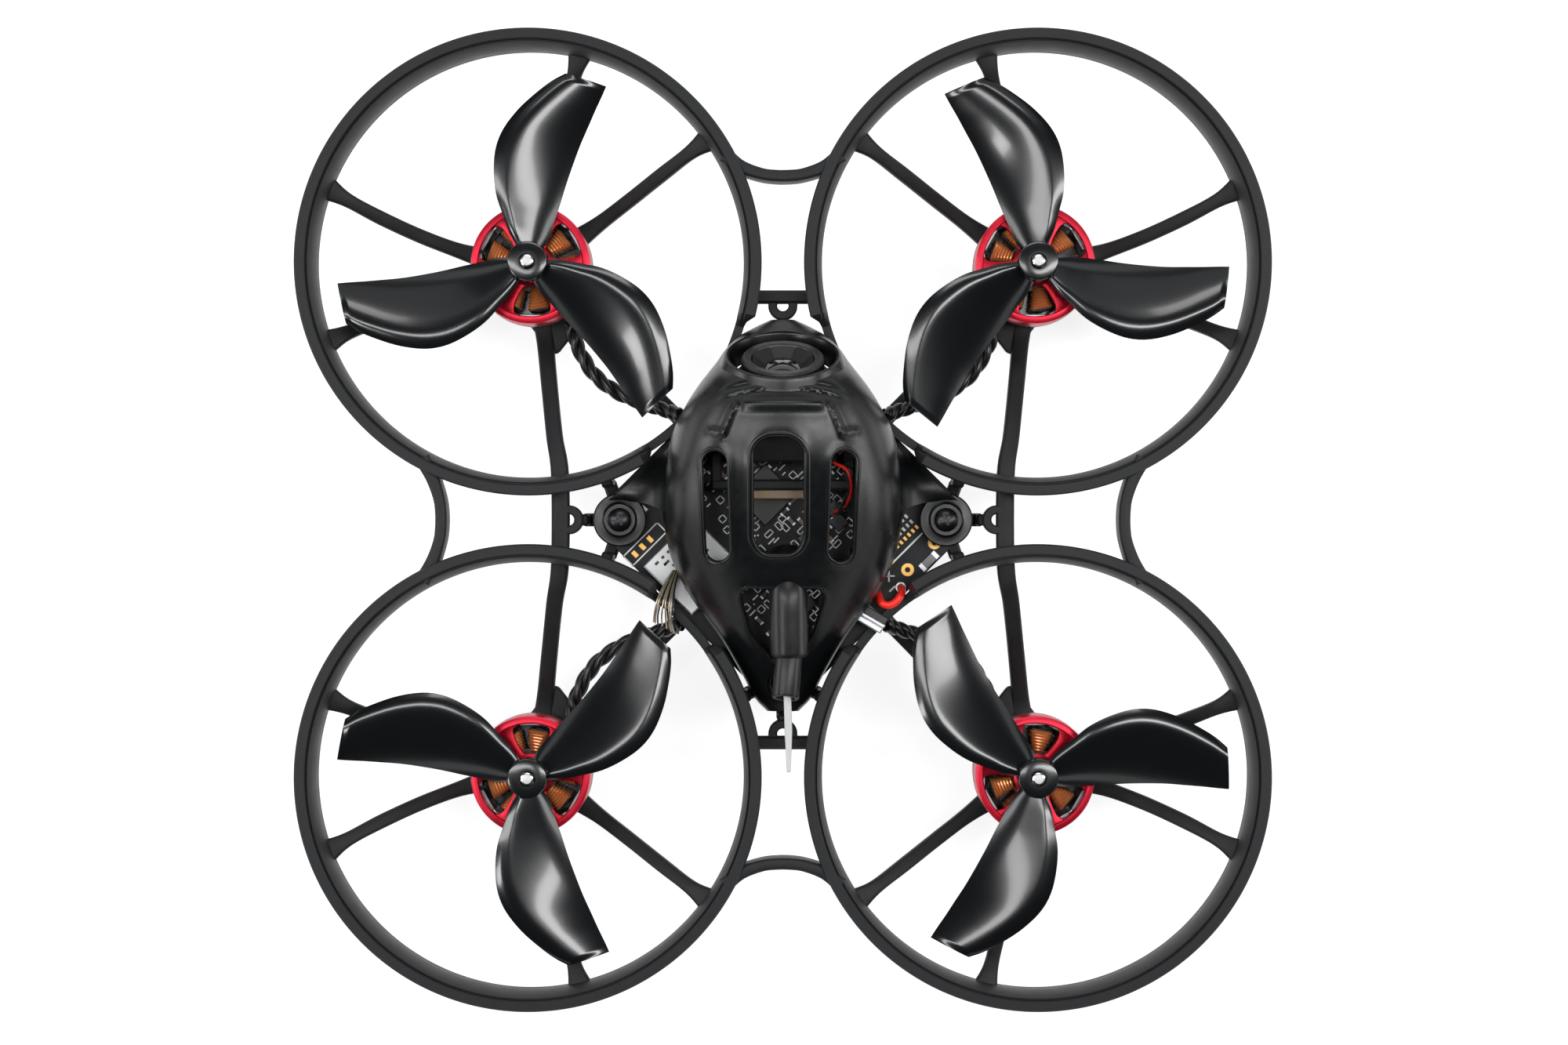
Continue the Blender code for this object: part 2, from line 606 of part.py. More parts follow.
def make_board():
    """The flight controller: a square board on its corner."""
    half = BOARD_SIDE / 2
    square = [Matrix.Rotation(QUARTER_TURN, 2) @ Vector(corner)
              for corner in ((-half, -half), (half, -half), (half, half), (-half, half))]
    made = outline("flight_controller_board", rounded_outline([tuple(p) for p in square], 2.7),
                   BOARD_BOTTOM, BOARD_TOP, CIRCUIT)
    holes = [disc(f"board_hole_{name}", x, y, 1.8, 13.0, 16.0, sides=12)
             for name, (x, y) in MOUNTS.items()]
    holes.append(box("lead_slot", (8.8, -5.4, 14.3), (2.6, 4.4, 3.0)))
    return combine(made, holes, "DIFFERENCE")


def make_fasteners():
    """Grommet and screw at each of the four mounting points."""
    for name, (x, y) in MOUNTS.items():
        turned(f"damper_{name}", ((2.7, 16.1), (2.7, 15.1), (1.5, 15.1), (1.5, 13.5), (2.7, 13.5),
                                  (2.7, 12.1), (SCREW_HOLE_R, 12.1), (SCREW_HOLE_R, 16.1)),
               RUBBER, sides=12, centre=(x, y, 0.0))
        head = turned(f"mount_screw_{name}", ((0.0, 18.8), (1.05, 18.8), (1.35, 18.5), (1.35, 17.8),
                                              (0.7, 17.8), (0.7, 9.6), (0.0, 9.6)),
                      SCREW_BLACK, sides=12, centre=(x, y, 0.0))
        cross = [box(f"cross_{name}_{i}", (x, y, 18.8), (1.3, 0.3, 0.8), turn=math.pi / 2 * i + 0.4)
                 for i in range(2)]
        combine(head, cross, "DIFFERENCE")


def make_board_parts():
    """Shield can, connector, wires, button and power leads."""
    box("receiver_shield", (-10.2, -5.2, 15.65), (8.1, 7.9, 1.1), SHIELD, turn=QUARTER_TURN)
    fan = (((-11.7, -5.7, 16.55), (-12.4, -5.7, 16.55)),
           ((-12.0, -7.3, 17.4), (-13.2, -6.9, 17.4)),
           ((-12.2, -9.4, 18.3), (-14.1, -8.7, 18.3)),
           ((-12.0, -11.6, 18.0), (-14.7, -10.3, 18.0)),
           ((-11.7, -12.9, 16.2), (-14.9, -11.4, 16.2)))
    sheet("receiver_wires", fan, 0.3, TINNED)
    socket = box("usb_socket", (10.05, -11.15, 17.9), (3.3, 2.0, 1.2), SILVER, turn=SOCKET_TURN)
    foot = box("usb_foot", (9.6, -10.15, 16.35), (2.2, 1.4, 2.5), turn=-QUARTER_TURN)
    combine(socket, [foot], "UNION")
    mouth = box("usb_mouth", (9.55, -12.02, 17.9), (2.7, 1.4, 0.7), turn=SOCKET_TURN)
    combine(socket, [mouth], "DIFFERENCE")
    housing = box("button_housing", (-5.5, 9.5, 12.9), (3.4, 2.8, 1.2), PLUG_BLACK)
    well = disc("button_well", -5.5, 9.5, 0.95, 11.9, 13.1, sides=16)
    combine(housing, [well], "DIFFERENCE")
    disc("bind_button", -5.5, 9.5, 0.65, 11.7, 12.8, BUTTON, sides=16)
    red = ((13.35, -7.65, 15.35), (13.45, -8.0, 16.7), (13.2, -8.6, 17.85), (12.6, -9.3, 18.0),
           (11.8, -9.6, 18.0), (11.1, -9.35, 17.9), (10.85, -8.7, 17.0), (10.6, -8.0, 16.1),
           (10.1, -7.3, 15.8), (9.3, -6.5, 15.5), (9.0, -6.4, 14.3), (8.6, -6.9, 12.8),
           (5.0, -10.0, 11.9), (2.3, -13.2, 11.2), (2.0, -14.0, 9.7), (2.0, -14.3, 7.9),
           (2.0, -13.8, 6.2), (2.0, -12.4, 5.6))
    wire("power_lead_red", red, 0.45, RED_LEAD, count=30)
    black = ((8.9, -2.6, 15.6), (8.9, -3.5, 15.9), (8.8, -4.2, 15.4), (8.8, -4.4, 14.3),
             (8.0, -5.2, 12.8), (3.2, -10.2, 11.9), (-1.2, -13.0, 11.5), (-2.0, -14.0, 9.7),
             (-2.0, -14.3, 7.9), (-2.0, -13.8, 6.2), (-2.0, -12.4, 5.6))
    wire("power_lead_black", black, 0.45, BLACK_LEAD, count=22)
    plug = box("power_plug", (0.0, -10.6, 5.6), (7.6, 4.8, 4.6), PLUG_BLACK)
    sockets = [cylinder(f"plug_socket_{i}", (side * 2.0, -9.0, 5.6), 0.95, 3.0, sides=12,
                        aim=(0.0, 1.0, 0.0)) for i, side in enumerate((-1, 1))]
    sockets += [cylinder(f"plug_lead_hole_{i}", (side * 2.0, -12.6, 5.6), 0.78, 2.0, sides=12,
                         aim=(0.0, 1.0, 0.0)) for i, side in enumerate((-1, 1))]
    combine(plug, sockets, "DIFFERENCE")


def make_antenna():
    """Rubber sleeve out of the rear window, with a thin stiff element in its end."""
    root, shoulder = Vector((0.6, -8.2, 24.6)), Vector((0.7, -14.6, 24.2))
    end = Vector((0.3, -19.5, 25.6))
    wide = (shoulder - root).length
    sleeve = turned("antenna_sleeve", ((0.0, wide), (1.1, wide), (1.75, wide - 0.5), (2.0, wide - 1.2),
                                       (2.0, 0.5), (1.7, 0.0), (0.0, 0.0)),
                    RUBBER, sides=20, centre=root, aim=shoulder - root)
    aim = (end - shoulder).normalized()
    tube = cylinder("sleeve_tube", shoulder + aim * 2.0, 1.5, 6.6, sides=20, aim=aim)
    combine(sleeve, [tube], "UNION")
    bore = cylinder("sleeve_bore", shoulder + aim * 5.0, 0.95, 4.6, sides=16, aim=aim)
    combine(sleeve, [bore], "DIFFERENCE")
    start = shoulder + aim * 3.4
    tip = Vector((0.65, -27.6, 28.1))
    length = (tip - start).length
    turned("antenna_element", ((0.0, length), (0.22, length), (0.42, length * 0.45),
                               (0.42, 0.0), (0.0, 0.0)),
           WHITE_TIP, sides=10, centre=start, aim=tip - start)


# ---- camera -------------------------------------------------------------------------
LENS_AXIS = Vector((0.0, math.cos(CAMERA_TILT), math.sin(CAMERA_TILT)))


def on_lens_axis(distance):
    """The point of the lens axis at a distance in front of the camera's pivot."""
    return Vector(CAMERA_PIVOT) + LENS_AXIS * distance


def make_camera():
    """Camera body, lens ring, glass, bracket, pivot screws and cable."""
    body = box("camera_body", CAMERA_PIVOT, (CAMERA_SIDE, CAMERA_DEPTH, CAMERA_SIDE),
               PLUG_BLACK, tilt=CAMERA_TILT)
    threads = [cylinder(f"camera_thread_{side}", (side * 5.6, *CAMERA_PIVOT[1:]), 0.8, 1.6, sides=12,
                        aim=(1.0, 0.0, 0.0)) for side in (-1, 1)]
    combine(body, threads, "DIFFERENCE")
    back = CAMERA_DEPTH / 2 + CLEARANCE
    front = LENS_REACH
    turned("camera_lens_ring", ((3.6, front), (LENS_RING_R, front - 0.3), (LENS_RING_R, front - 2.2),
                                (3.7, front - 3.0), (3.7, back), (0.0, back), (0.0, front - 2.2),
                                (2.9, front - 1.4)),
           DARK_METAL, sides=32, centre=CAMERA_PIVOT, aim=LENS_AXIS)
    turned("camera_glass", ((0.0, front - 0.35), (1.1, front - 0.5), (2.1, front - 1.0),
                            (2.1, front - 1.35), (0.0, front - 1.85)),
           GLASS, sides=24, centre=CAMERA_PIVOT, aim=LENS_AXIS)
    y, z = CAMERA_PIVOT[1:]
    bracket = box("camera_bracket", (0.0, 3.9, z - 1.4), (16.0, 1.2, 3.4), NYLON)
    cheeks, holes = [], []
    for side in (-1, 1):
        cheeks.append(cylinder(f"cheek_boss_{side}", (side * 7.4, y, z), 2.4, 1.2, sides=20,
                               aim=(1.0, 0.0, 0.0)))
        cheeks.append(box(f"cheek_arm_{side}", (side * 7.4, (y + 3.5) / 2, z - 0.9),
                          (1.2, y - 3.3, 2.2)))
        holes.append(cylinder(f"cheek_hole_{side}", (side * 7.4, y, z), 0.8, 3.0, sides=12,
                              aim=(1.0, 0.0, 0.0)))
        name = "camera_screw_left" if side < 0 else "camera_screw_right"
        turned(name, ((0.0, 3.6), (0.9, 3.6), (1.1, 3.4), (1.1, 3.0), (0.5, 3.0), (0.5, 0.0),
                      (0.0, 0.0)),
               SCREW_BLACK, sides=14, centre=(side * 5.3, y, z), aim=(side, 0.0, 0.0))
    combine(bracket, cheeks, "UNION")
    combine(bracket, holes, "DIFFERENCE")
    wire("camera_cable", ((5.2, 7.4, 20.2), (5.7, 6.3, 23.4), (7.3, 5.5, 24.9), (7.6, 3.8, 24.4),
                          (7.0, 2.0, 21.4), (6.3, 1.0, 17.8), (5.9, 0.8, 15.5)), 0.4, RED_LEAD,
         count=16)


# ---- canopy ---------------------------------------------------------------------------
# y, half width at the rim, crown height, squareness of the section
DOME = ((22.5, 1.4, 18.3, 2.2), (21.6, 3.3, 19.6, 2.3), (20.6, 5.0, 21.4, 2.5),
        (19.2, 6.4, 24.0, 2.8), (17.7, 7.4, 26.9, 3.2), (16.4, 8.4, 29.5, 3.0),
        (15.0, 9.5, 31.0, 2.7), (13.0, 10.8, 31.9, 2.5), (10.0, 12.3, 32.2, 2.4),
        (6.5, 13.2, 31.8, 2.4), (3.0, 13.6, 30.8, 2.4), (-1.0, 13.3, 29.4, 2.4),
        (-5.0, 12.3, 27.4, 2.4), (-9.0, 10.2, 25.0, 2.4), (-13.0, 7.2, 22.6, 2.4),
        (-17.0, 4.8, 20.8, 2.4), (-20.0, 3.2, 19.6, 2.3), (-21.5, 1.8, 18.6, 2.2))
DOME_COLUMNS = 10


def dome_rows(columns):
    """Arched sections of the dome, from nose to tail."""
    rows = []
    for y, half, crown, power in DOME:
        row = []
        for step in range(columns + 1):
            angle = math.pi * step / columns
            cosine, sine = math.cos(angle), math.sin(angle)
            x = half * math.copysign(abs(cosine) ** (2 / power), cosine)
            z = RIM_Z + (crown - RIM_Z) * abs(sine) ** (2 / power)
            row.append((x, y, z))
        rows.append(row)
    return rows


def make_canopy():
    """The dome with its snout, ears and wings, and the openings cut through it."""
    made = sheet("canopy", dome_rows(DOME_COLUMNS), SHELL, CANOPY_BLACK, offset=-1.0)
    face = LENS_REACH + 0.3
    parts = [cylinder("snout", on_lens_axis(face - 2.0), SNOUT_R, 4.0, sides=28, aim=LENS_AXIS)]
    for name, (x, y) in MOUNTS.items():
        parts.append(disc(f"ear_{name}", x, y, EAR_R, EAR_BOTTOM, EAR_TOP, sides=20))
    for side in (-1, 1):
        wing = (((11.5, 0.7, 21.1), (11.1, 5.5, 20.85), (10.6, 9.5, 20.35)),
                ((15.2, 1.9, 18.3), (15.0, 3.8, 18.6), (15.2, 5.5, 18.6)),
                ((17.4, 2.1, 17.1), (18.5, 2.3, 17.15), (19.7, 2.2, 17.1)))
        rows = [[(side * x, y, z) for x, y, z in row] for row in wing]
        parts.append(sheet(f"wing_{side}", rows, SHELL))
    parts.append(box("rear_floor", (0.0, -18.8, 17.05), (4.8, 5.4, 0.66)))
    parts.append(box("front_floor", (0.0, 19.3, 17.05), (6.4, 5.4, 0.62)))
    combine(made, parts, "UNION")
    cuts = [cylinder("snout_bore", on_lens_axis(face - 2.0), SNOUT_BORE_R, 8.0, sides=24,
                     aim=LENS_AXIS)]
    cuts.append(outline("vent_middle", slot_outline(((-0.45, 6.3), (-0.45, -0.9)), 2.95), 22.0, 40.0))
    cuts.append(outline("vent_left", slot_outline(((-7.4, 6.2), (-7.1, -3.2)), 1.5), 20.0, 40.0))
    cuts.append(outline("vent_right", slot_outline(((6.6, 6.2), (6.3, -3.2)), 1.5), 20.0, 40.0))
    window = ((-5.0, -7.4), (5.0, -7.4), (3.4, -12.6), (1.4, -15.6), (-1.4, -15.6), (-3.6, -12.6))
    cuts.append(outline("rear_window", rounded_outline(window, 1.0, 3), 17.6, 40.0))
    cuts.append(box("socket_notch", (9.75, -10.75, 17.8), (4.6, 3.4, 1.9), turn=SOCKET_TURN))
    for name, (x, y) in MOUNTS.items():
        cuts.append(disc(f"ear_hole_{name}", x, y, SCREW_HOLE_R, 15.0, 19.0, sides=16))
        cuts.append(disc(f"head_space_{name}", x, y, 1.75, EAR_TOP + 0.02, 24.0, sides=12))
    return combine(made, cuts, "DIFFERENCE")


def main():
    """Build the whole drone."""
    make_frame()
    for name, (x_side, y_side, spin, phase) in MOTORS.items():
        make_motor(name, x_side, y_side, spin, phase)
    make_board()
    make_fasteners()
    make_board_parts()
    make_antenna()
    make_camera()
    make_canopy()
    for made in DRONE.objects:
        if made.type == "MESH":
            shade(made)


main()
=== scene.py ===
"""Looks for the ducted racing drone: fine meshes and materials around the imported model.

Lengths are in millimetres in the drone's own frame: +X right, +Y forward, +Z up.
"""
import math
import random

import bmesh
import bpy
from mathutils import Matrix, Vector


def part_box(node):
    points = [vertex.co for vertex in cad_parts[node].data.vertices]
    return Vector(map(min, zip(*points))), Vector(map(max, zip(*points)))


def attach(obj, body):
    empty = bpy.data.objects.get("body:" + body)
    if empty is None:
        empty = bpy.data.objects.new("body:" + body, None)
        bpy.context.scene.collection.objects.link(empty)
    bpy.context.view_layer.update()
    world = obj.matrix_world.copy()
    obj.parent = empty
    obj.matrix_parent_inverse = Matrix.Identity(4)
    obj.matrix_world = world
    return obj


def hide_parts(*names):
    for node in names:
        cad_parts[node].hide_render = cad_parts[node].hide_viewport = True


MM = 0.001
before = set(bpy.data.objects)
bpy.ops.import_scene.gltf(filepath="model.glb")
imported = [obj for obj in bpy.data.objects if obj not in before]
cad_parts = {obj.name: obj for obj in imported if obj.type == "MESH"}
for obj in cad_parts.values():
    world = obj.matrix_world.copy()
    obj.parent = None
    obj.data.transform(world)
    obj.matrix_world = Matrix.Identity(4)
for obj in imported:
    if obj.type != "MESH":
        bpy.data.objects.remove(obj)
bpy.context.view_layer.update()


def middle(node):
    """The middle of a CAD node, in millimetres."""
    low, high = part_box(node)
    return (low + high) / (2 * MM)


# ---- dimensions shared with the CAD part ----------------------------------------
CORNERS = {"front_left": (-1, 1), "front_right": (1, 1),       # sides in x and in y
           "rear_left": (-1, -1), "rear_right": (1, -1)}
MOTORS = {name: middle(f"motor_shaft_{name}") for name in CORNERS}
MOTOR_X, MOTOR_Y = MOTORS["front_right"].xy
BLADE_ANGLES = {"front_left": 2.3, "front_right": 2.7, "rear_left": 58.7, "rear_right": -67.5}
WALL_R, BORE_R = 25.0, 24.0                      # a duct's wall, outside and inside
DIP_TOP = 17.0                                   # its top where the canopy overhangs it
DIPS = {1: (216.5, 19.0), -1: (225.3, 9.2)}       # front and rear: angle, width
MOUNT_R, LUG_R = 18.38, 24.2
MOUNTS = {"front": (0.0, MOUNT_R), "rear": (0.0, -MOUNT_R),
          "left": (-MOUNT_R, 0.0), "right": (MOUNT_R, 0.0)}
BOARD_HALF, BOARD_BOTTOM, BOARD_TOP = 15.7, 13.8, 14.8
LEAD_SLOT = Vector((8.8, -5.4, 0.0))             # where the battery leads pass the board
SOCKET = (10.05, -11.15, 17.9)
SOCKET_TURN = math.radians(-30.0)
SHIELD_U, SHIELD_V = -10.9, 3.55                 # in the board's own directions
BUTTON = Vector((-5.5, 9.5, 0.0))
CAMERA_PIVOT = Vector((0.0, 10.8, 22.1))
CAMERA_TILT = math.radians(27.0)
LENS_AXIS = Vector((0.0, math.cos(CAMERA_TILT), math.sin(CAMERA_TILT)))
UP = Vector((0.0, 0.0, 1.0))


# ---- materials -------------------------------------------------------------------
def surface(name, colour, roughness, metallic=0.0, grain=0.25, mottle=0.2, relief=0.004,
            uneven=0.08, coat=0.0, rings=False, gloss=0.5):
    """A Principled finish with mottled colour, uneven gloss and a fine relief."""
    made = bpy.data.materials.new(name)
    made.use_nodes = True
    tree = made.node_tree
    nodes, links = tree.nodes, tree.links
    shader = nodes["Principled BSDF"]
    shader.inputs["Metallic"].default_value = metallic
    shader.inputs["Coat Weight"].default_value = coat
    shader.inputs["Specular IOR Level"].default_value = gloss
    shader.inputs["Coat Roughness"].default_value = 0.08
    place = nodes.new("ShaderNodeTexCoord")
    fine = nodes.new("ShaderNodeTexNoise")
    fine.inputs["Scale"].default_value = 1.0 / (grain * MM)
    fine.inputs["Detail"].default_value = 3.0
    broad = nodes.new("ShaderNodeTexNoise")
    broad.inputs["Scale"].default_value = 0.12 / (grain * MM)
    broad.inputs["Detail"].default_value = 4.0
    links.new(place.outputs["Object"], fine.inputs["Vector"])
    links.new(place.outputs["Object"], broad.inputs["Vector"])
    mix = nodes.new("ShaderNodeMix")
    mix.data_type = "RGBA"
    mix.inputs["A"].default_value = (*[c * (1 - mottle) for c in colour], 1.0)
    mix.inputs["B"].default_value = (*[min(c * (1 + mottle), 1.0) for c in colour], 1.0)
    links.new(broad.outputs["Fac"], mix.inputs["Factor"])
    links.new(mix.outputs["Result"], shader.inputs["Base Color"])
    dull = nodes.new("ShaderNodeMapRange")
    dull.inputs["To Min"].default_value = max(roughness - uneven, 0.02)
    dull.inputs["To Max"].default_value = min(roughness + uneven, 1.0)
    links.new(broad.outputs["Fac"], dull.inputs["Value"])
    links.new(dull.outputs["Result"], shader.inputs["Roughness"])
    bump = nodes.new("ShaderNodeBump")
    bump.inputs["Strength"].default_value = 0.6
    bump.inputs["Distance"].default_value = relief * MM
    texture = turning_marks(nodes, links, place) if rings else fine
    links.new(texture.outputs["Fac"], bump.inputs["Height"])
    links.new(bump.outputs["Normal"], shader.inputs["Normal"])
    return made


def turning_marks(nodes, links, place):
    """Fine level bands up a turned part."""
    bands = nodes.new("ShaderNodeTexWave")
    bands.bands_direction = "Z"
    bands.inputs["Scale"].default_value = 1.2 / MM
    bands.inputs["Distortion"].default_value = 0.6
    links.new(place.outputs["Object"], bands.inputs["Vector"])
    return bands


NYLON = surface("nylon", (0.0145, 0.0152, 0.0165), 0.5, grain=0.22, relief=0.010, mottle=0.25,
                gloss=0.22)
CANOPY = surface("canopy_skin", (0.0032, 0.0037, 0.0042), 0.3, grain=0.12, relief=0.005,
                 mottle=0.2, gloss=0.4)
PROP = surface("prop_gloss", (0.0035, 0.0045, 0.0055), 0.2, grain=0.6, relief=0.0004,
               uneven=0.01, coat=0.25)
RED = surface("anodised_red", (0.55, 0.005, 0.028), 0.34, metallic=0.6, grain=0.1, relief=0.003,
              mottle=0.12)
# a darker copy of the bell's own red for its spokes and hub: painted shade on one anodised part
RED_PAINTED_SHADE = surface("anodised_red_painted_shade", (0.42, 0.003, 0.018), 0.3, metallic=0.7, grain=0.1)
STEEL = surface("ground_steel", (0.66, 0.67, 0.68), 0.22, metallic=1.0, grain=0.08, rings=True)
COPPER = surface("winding", (1.0, 0.33, 0.11), 0.3, metallic=0.6, grain=0.3, mottle=0.35,
                 coat=0.5, relief=0.002)
LAMINATION = surface("lamination", (0.05, 0.04, 0.04), 0.4, metallic=0.6, grain=0.1, rings=True)
MAGNET = surface("magnet", (0.3, 0.3, 0.31), 0.35, metallic=1.0)
DARK_METAL = surface("dark_anodised", (0.012, 0.012, 0.014), 0.27, metallic=0.5, grain=0.1,
                     coat=0.3)
SCREW = surface("black_oxide", (0.03, 0.03, 0.032), 0.3, metallic=0.9, grain=0.1)
RUBBER = surface("rubber", (0.006, 0.0052, 0.0062), 0.36, grain=0.15, relief=0.006,
                 gloss=0.35)
MASK = surface("solder_mask", (0.006, 0.007, 0.009), 0.45, grain=0.5, relief=0.006, gloss=0.25)
SILK = surface("silkscreen", (0.92, 0.93, 0.93), 0.6, grain=0.1, mottle=0.15)
LABEL = surface("label_white", (0.95, 0.96, 0.98), 0.4, grain=0.5, mottle=0.04, relief=0.001)
GOLD = surface("gold_plate", (0.72, 0.42, 0.12), 0.42, metallic=0.8, grain=0.15, relief=0.001)
SILVER = surface("nickel", (0.6, 0.61, 0.63), 0.42, metallic=0.85, grain=0.1, relief=0.001)
TINNED = surface("tinned_wire", (0.42, 0.36, 0.27), 0.35, metallic=0.8, grain=0.2, mottle=0.35)
CERAMIC = surface("ceramic", (0.16, 0.11, 0.07), 0.4, grain=0.2)
PACKAGE = surface("chip_package", (0.015, 0.015, 0.017), 0.4, grain=0.08, relief=0.008)
RED_LEAD = surface("red_silicone", (0.95, 0.02, 0.012), 0.38, grain=0.3, mottle=0.12)
BLACK_LEAD = surface("black_silicone", (0.008, 0.008, 0.009), 0.3, grain=0.3, relief=0.006)
WHITE = surface("white_sleeve", (0.5, 0.51, 0.52), 0.35, grain=0.3, mottle=0.05)
GREY = surface("grey_plastic", (0.2, 0.2, 0.21), 0.5, grain=0.2)
BEZEL = surface("lens_bezel", (0.03, 0.031, 0.033), 0.36, metallic=0.4, grain=0.08, relief=0.002)
COATING = surface("lens_coating", (0.006, 0.006, 0.006), 0.06, grain=2.0, mottle=0.4, coat=1.0,
                  relief=0.0)
BAFFLE = surface("lens_baffle", (0.004, 0.004, 0.0045), 0.45, grain=0.1, relief=0.002)
TAPE = surface("tape_amber", (0.2, 0.12, 0.045), 0.3, grain=0.6, mottle=0.3, coat=0.5)
GROUND = surface("ground_face", (0.6, 0.6, 0.61), 0.5, metallic=0.2, grain=0.1, relief=0.001)
PLUG = surface("plug_plastic", (0.014, 0.014, 0.015), 0.4, grain=0.15)


# ---- shapes ------------------------------------------------------------------------
class Shape:
    """Points, faces and finishes gathered for one piece."""

    def __init__(self):
        self.points, self.faces, self.finishes, self.marks = [], [], [], []

    def add(self, points, faces, finish):
        if finish not in self.finishes:
            self.finishes.append(finish)
        start = len(self.points)
        self.points.extend(Vector(point) for point in points)
        self.faces.extend([start + i for i in face] for face in faces)
        self.marks.extend([self.finishes.index(finish)] * len(faces))

    def grid(self, rows, finish, around=False, closed=False):
        """Rows of points joined into faces; around joins each row's ends, closed the rows."""
        count, last = len(rows[0]), len(rows)
        faces = []
        for r in range(last if closed else last - 1):
            below, above = r * count, (r + 1) % last * count
            for c in range(count if around else count - 1):
                nxt = (c + 1) % count
                faces.append((below + c, below + nxt, above + nxt, above + c))
        if around and not closed:
            faces += [range(count), range((last - 1) * count, last * count)]
        self.add([point for row in rows for point in row], faces, finish)

    def lathe(self, profile, centre, finish, steps=64, aim=UP):
        """A closed (radius, height) profile turned about an axis."""
        turn = Vector(aim).to_track_quat("Z", "Y").to_matrix()
        rows = []
        for step in range(steps):
            angle = 2 * math.pi * step / steps
            spoke = Vector((math.cos(angle), math.sin(angle), 0.0))
            rows.append([Vector(centre) + turn @ (spoke * radius + UP * height)
                         for radius, height in profile])
        self.grid(rows, finish, around=True, closed=True)
        return self

    def bar(self, path, widths, heights, finish, rounding=0.3, count=20, upright=UP):
        """A rounded rectangular bar along a smooth path."""
        line = smooth([(*point, width, height) for point, width, height
                       in zip(path, spread(widths, path), spread(heights, path))], count)
        rows = []
        for i, (*point, width, height) in enumerate(line):
            ahead = Vector(line[min(i + 1, count - 1)][:3]) - Vector(line[max(i - 1, 0)][:3])
            side = ahead.cross(upright).normalized()
            rise = side.cross(ahead).normalized()
            rows.append([Vector(point) + side * a + rise * b
                         for a, b in rounded_rectangle(width, height, rounding)])
        self.grid(rows, finish, around=True)

    def tube(self, path, radii, finish, sides=12):
        """A round wire along points that are already smooth."""
        rows = []
        rise = UP
        for i, (point, radius) in enumerate(zip(path, spread(radii, path))):
            ahead = (path[min(i + 1, len(path) - 1)] - path[max(i - 1, 0)]).normalized()
            side = ahead.cross(rise)
            if side.length < 0.01:
                side = ahead.cross(Vector((0.0, 1.0, 0.0)))
            side.normalize()
            rise = side.cross(ahead).normalized()
            rows.append(ring(point, side, rise, radius, sides))
        self.grid(rows, finish, around=True)
        return self

    def loop(self, path, axis, radius, finish, sides):
        """A closed round wire along a loop that faces an axis."""
        rows = []
        for i, point in enumerate(path):
            ahead = (path[(i + 1) % len(path)] - path[i - 1]).normalized()
            side = ahead.cross(axis).normalized()
            rows.append(ring(point, side, side.cross(ahead).normalized(), radius, sides))
        self.grid(rows, finish, around=True, closed=True)

    def plate(self, outline, bottom, top, finish, edge=0.12, place=None):
        """A flat plate of a given outline, with softened edges."""
        inner = inset(outline, edge)
        levels = ((inner, bottom), (outline, bottom + edge), (outline, top - edge), (inner, top))
        rows = [[Vector((x, y, z)) for x, y in line] for line, z in levels]
        if place:
            rows = [[place @ point for point in row] for row in rows]
        self.grid(rows, finish, around=True)

    def block(self, centre, size, finish, edge=0.12, turn=0.0, place=None):
        """A box with softened edges."""
        x, y, z = (value / 2 for value in size)
        at = Matrix.Translation(centre) @ Matrix.Rotation(turn, 4, "Z")
        outline = rounded_rectangle(2 * x, 2 * y, min(edge, x * 0.5, y * 0.5), 2)
        self.plate(outline, -z, z, finish, min(edge, z * 0.5), (place @ at) if place else at)
        return self

    def make(self, name, replaced=(), slot=None, body="airframe", sharp=38.0):
        """Turn what was gathered into an object that rides on a body."""
        mesh = bpy.data.meshes.new(name)
        mesh.from_pydata([point * MM for point in self.points], [], self.faces)
        for finish in self.finishes:
            mesh.materials.append(finish)
        mesh.polygons.foreach_set("material_index", self.marks)
        tidy = bmesh.new()
        tidy.from_mesh(mesh)
        bmesh.ops.recalc_face_normals(tidy, faces=tidy.faces)
        tidy.to_mesh(mesh)
        tidy.free()
        mesh.shade_smooth()
        mesh.set_sharp_from_angle(angle=math.radians(sharp))
        made = bpy.data.objects.new(name, mesh)
        bpy.context.scene.collection.objects.link(made)
        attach(made, body)
        if replaced:
            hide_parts(*replaced)
        return made


def ring(centre, side, rise, radius, sides):
    """Points around a centre, in the plane of two directions."""
    return [centre + (side * math.cos(angle) + rise * math.sin(angle)) * radius
            for angle in (2 * math.pi * k / sides for k in range(sides))]


def washer(inner, outer, bottom, top, edge=0.15):
    """The profile of a ring with bevelled edges."""
    return ((inner, top - edge), (inner + edge, top), (outer - edge, top), (outer, top - edge),
            (outer, bottom + edge), (outer - edge, bottom), (inner + edge, bottom),
            (inner, bottom + edge))


def rod(radius, bottom, top):
    """The profile of a plain solid cylinder."""
    return ((0.01, top), (radius, top), (radius, bottom), (0.01, bottom))


def spread(value, path):
    """One value repeated for each point of a path, or the values as they are."""
    return [value] * len(path) if isinstance(value, (int, float)) else value


def smooth(rows, count):
    """Rows of numbers at even steps along a smooth curve through the given rows."""
    rows = [tuple(row) for row in rows]
    first = tuple(2 * a - b for a, b in zip(rows[0], rows[1]))
    last = tuple(2 * a - b for a, b in zip(rows[-1], rows[-2]))
    padded = [first, *rows, last]
    made = []
    for step in range(count):
        at = step * (len(rows) - 1) / (count - 1)
        span = min(int(at), len(rows) - 2)
        t = at - span
        made.append(tuple(
            0.5 * (2 * b + (c - a) * t + (2 * a - 5 * b + 4 * c - d) * t * t
                   + (3 * b - a - 3 * c + d) * t ** 3)
            for a, b, c, d in zip(*padded[span:span + 4])))
    return made


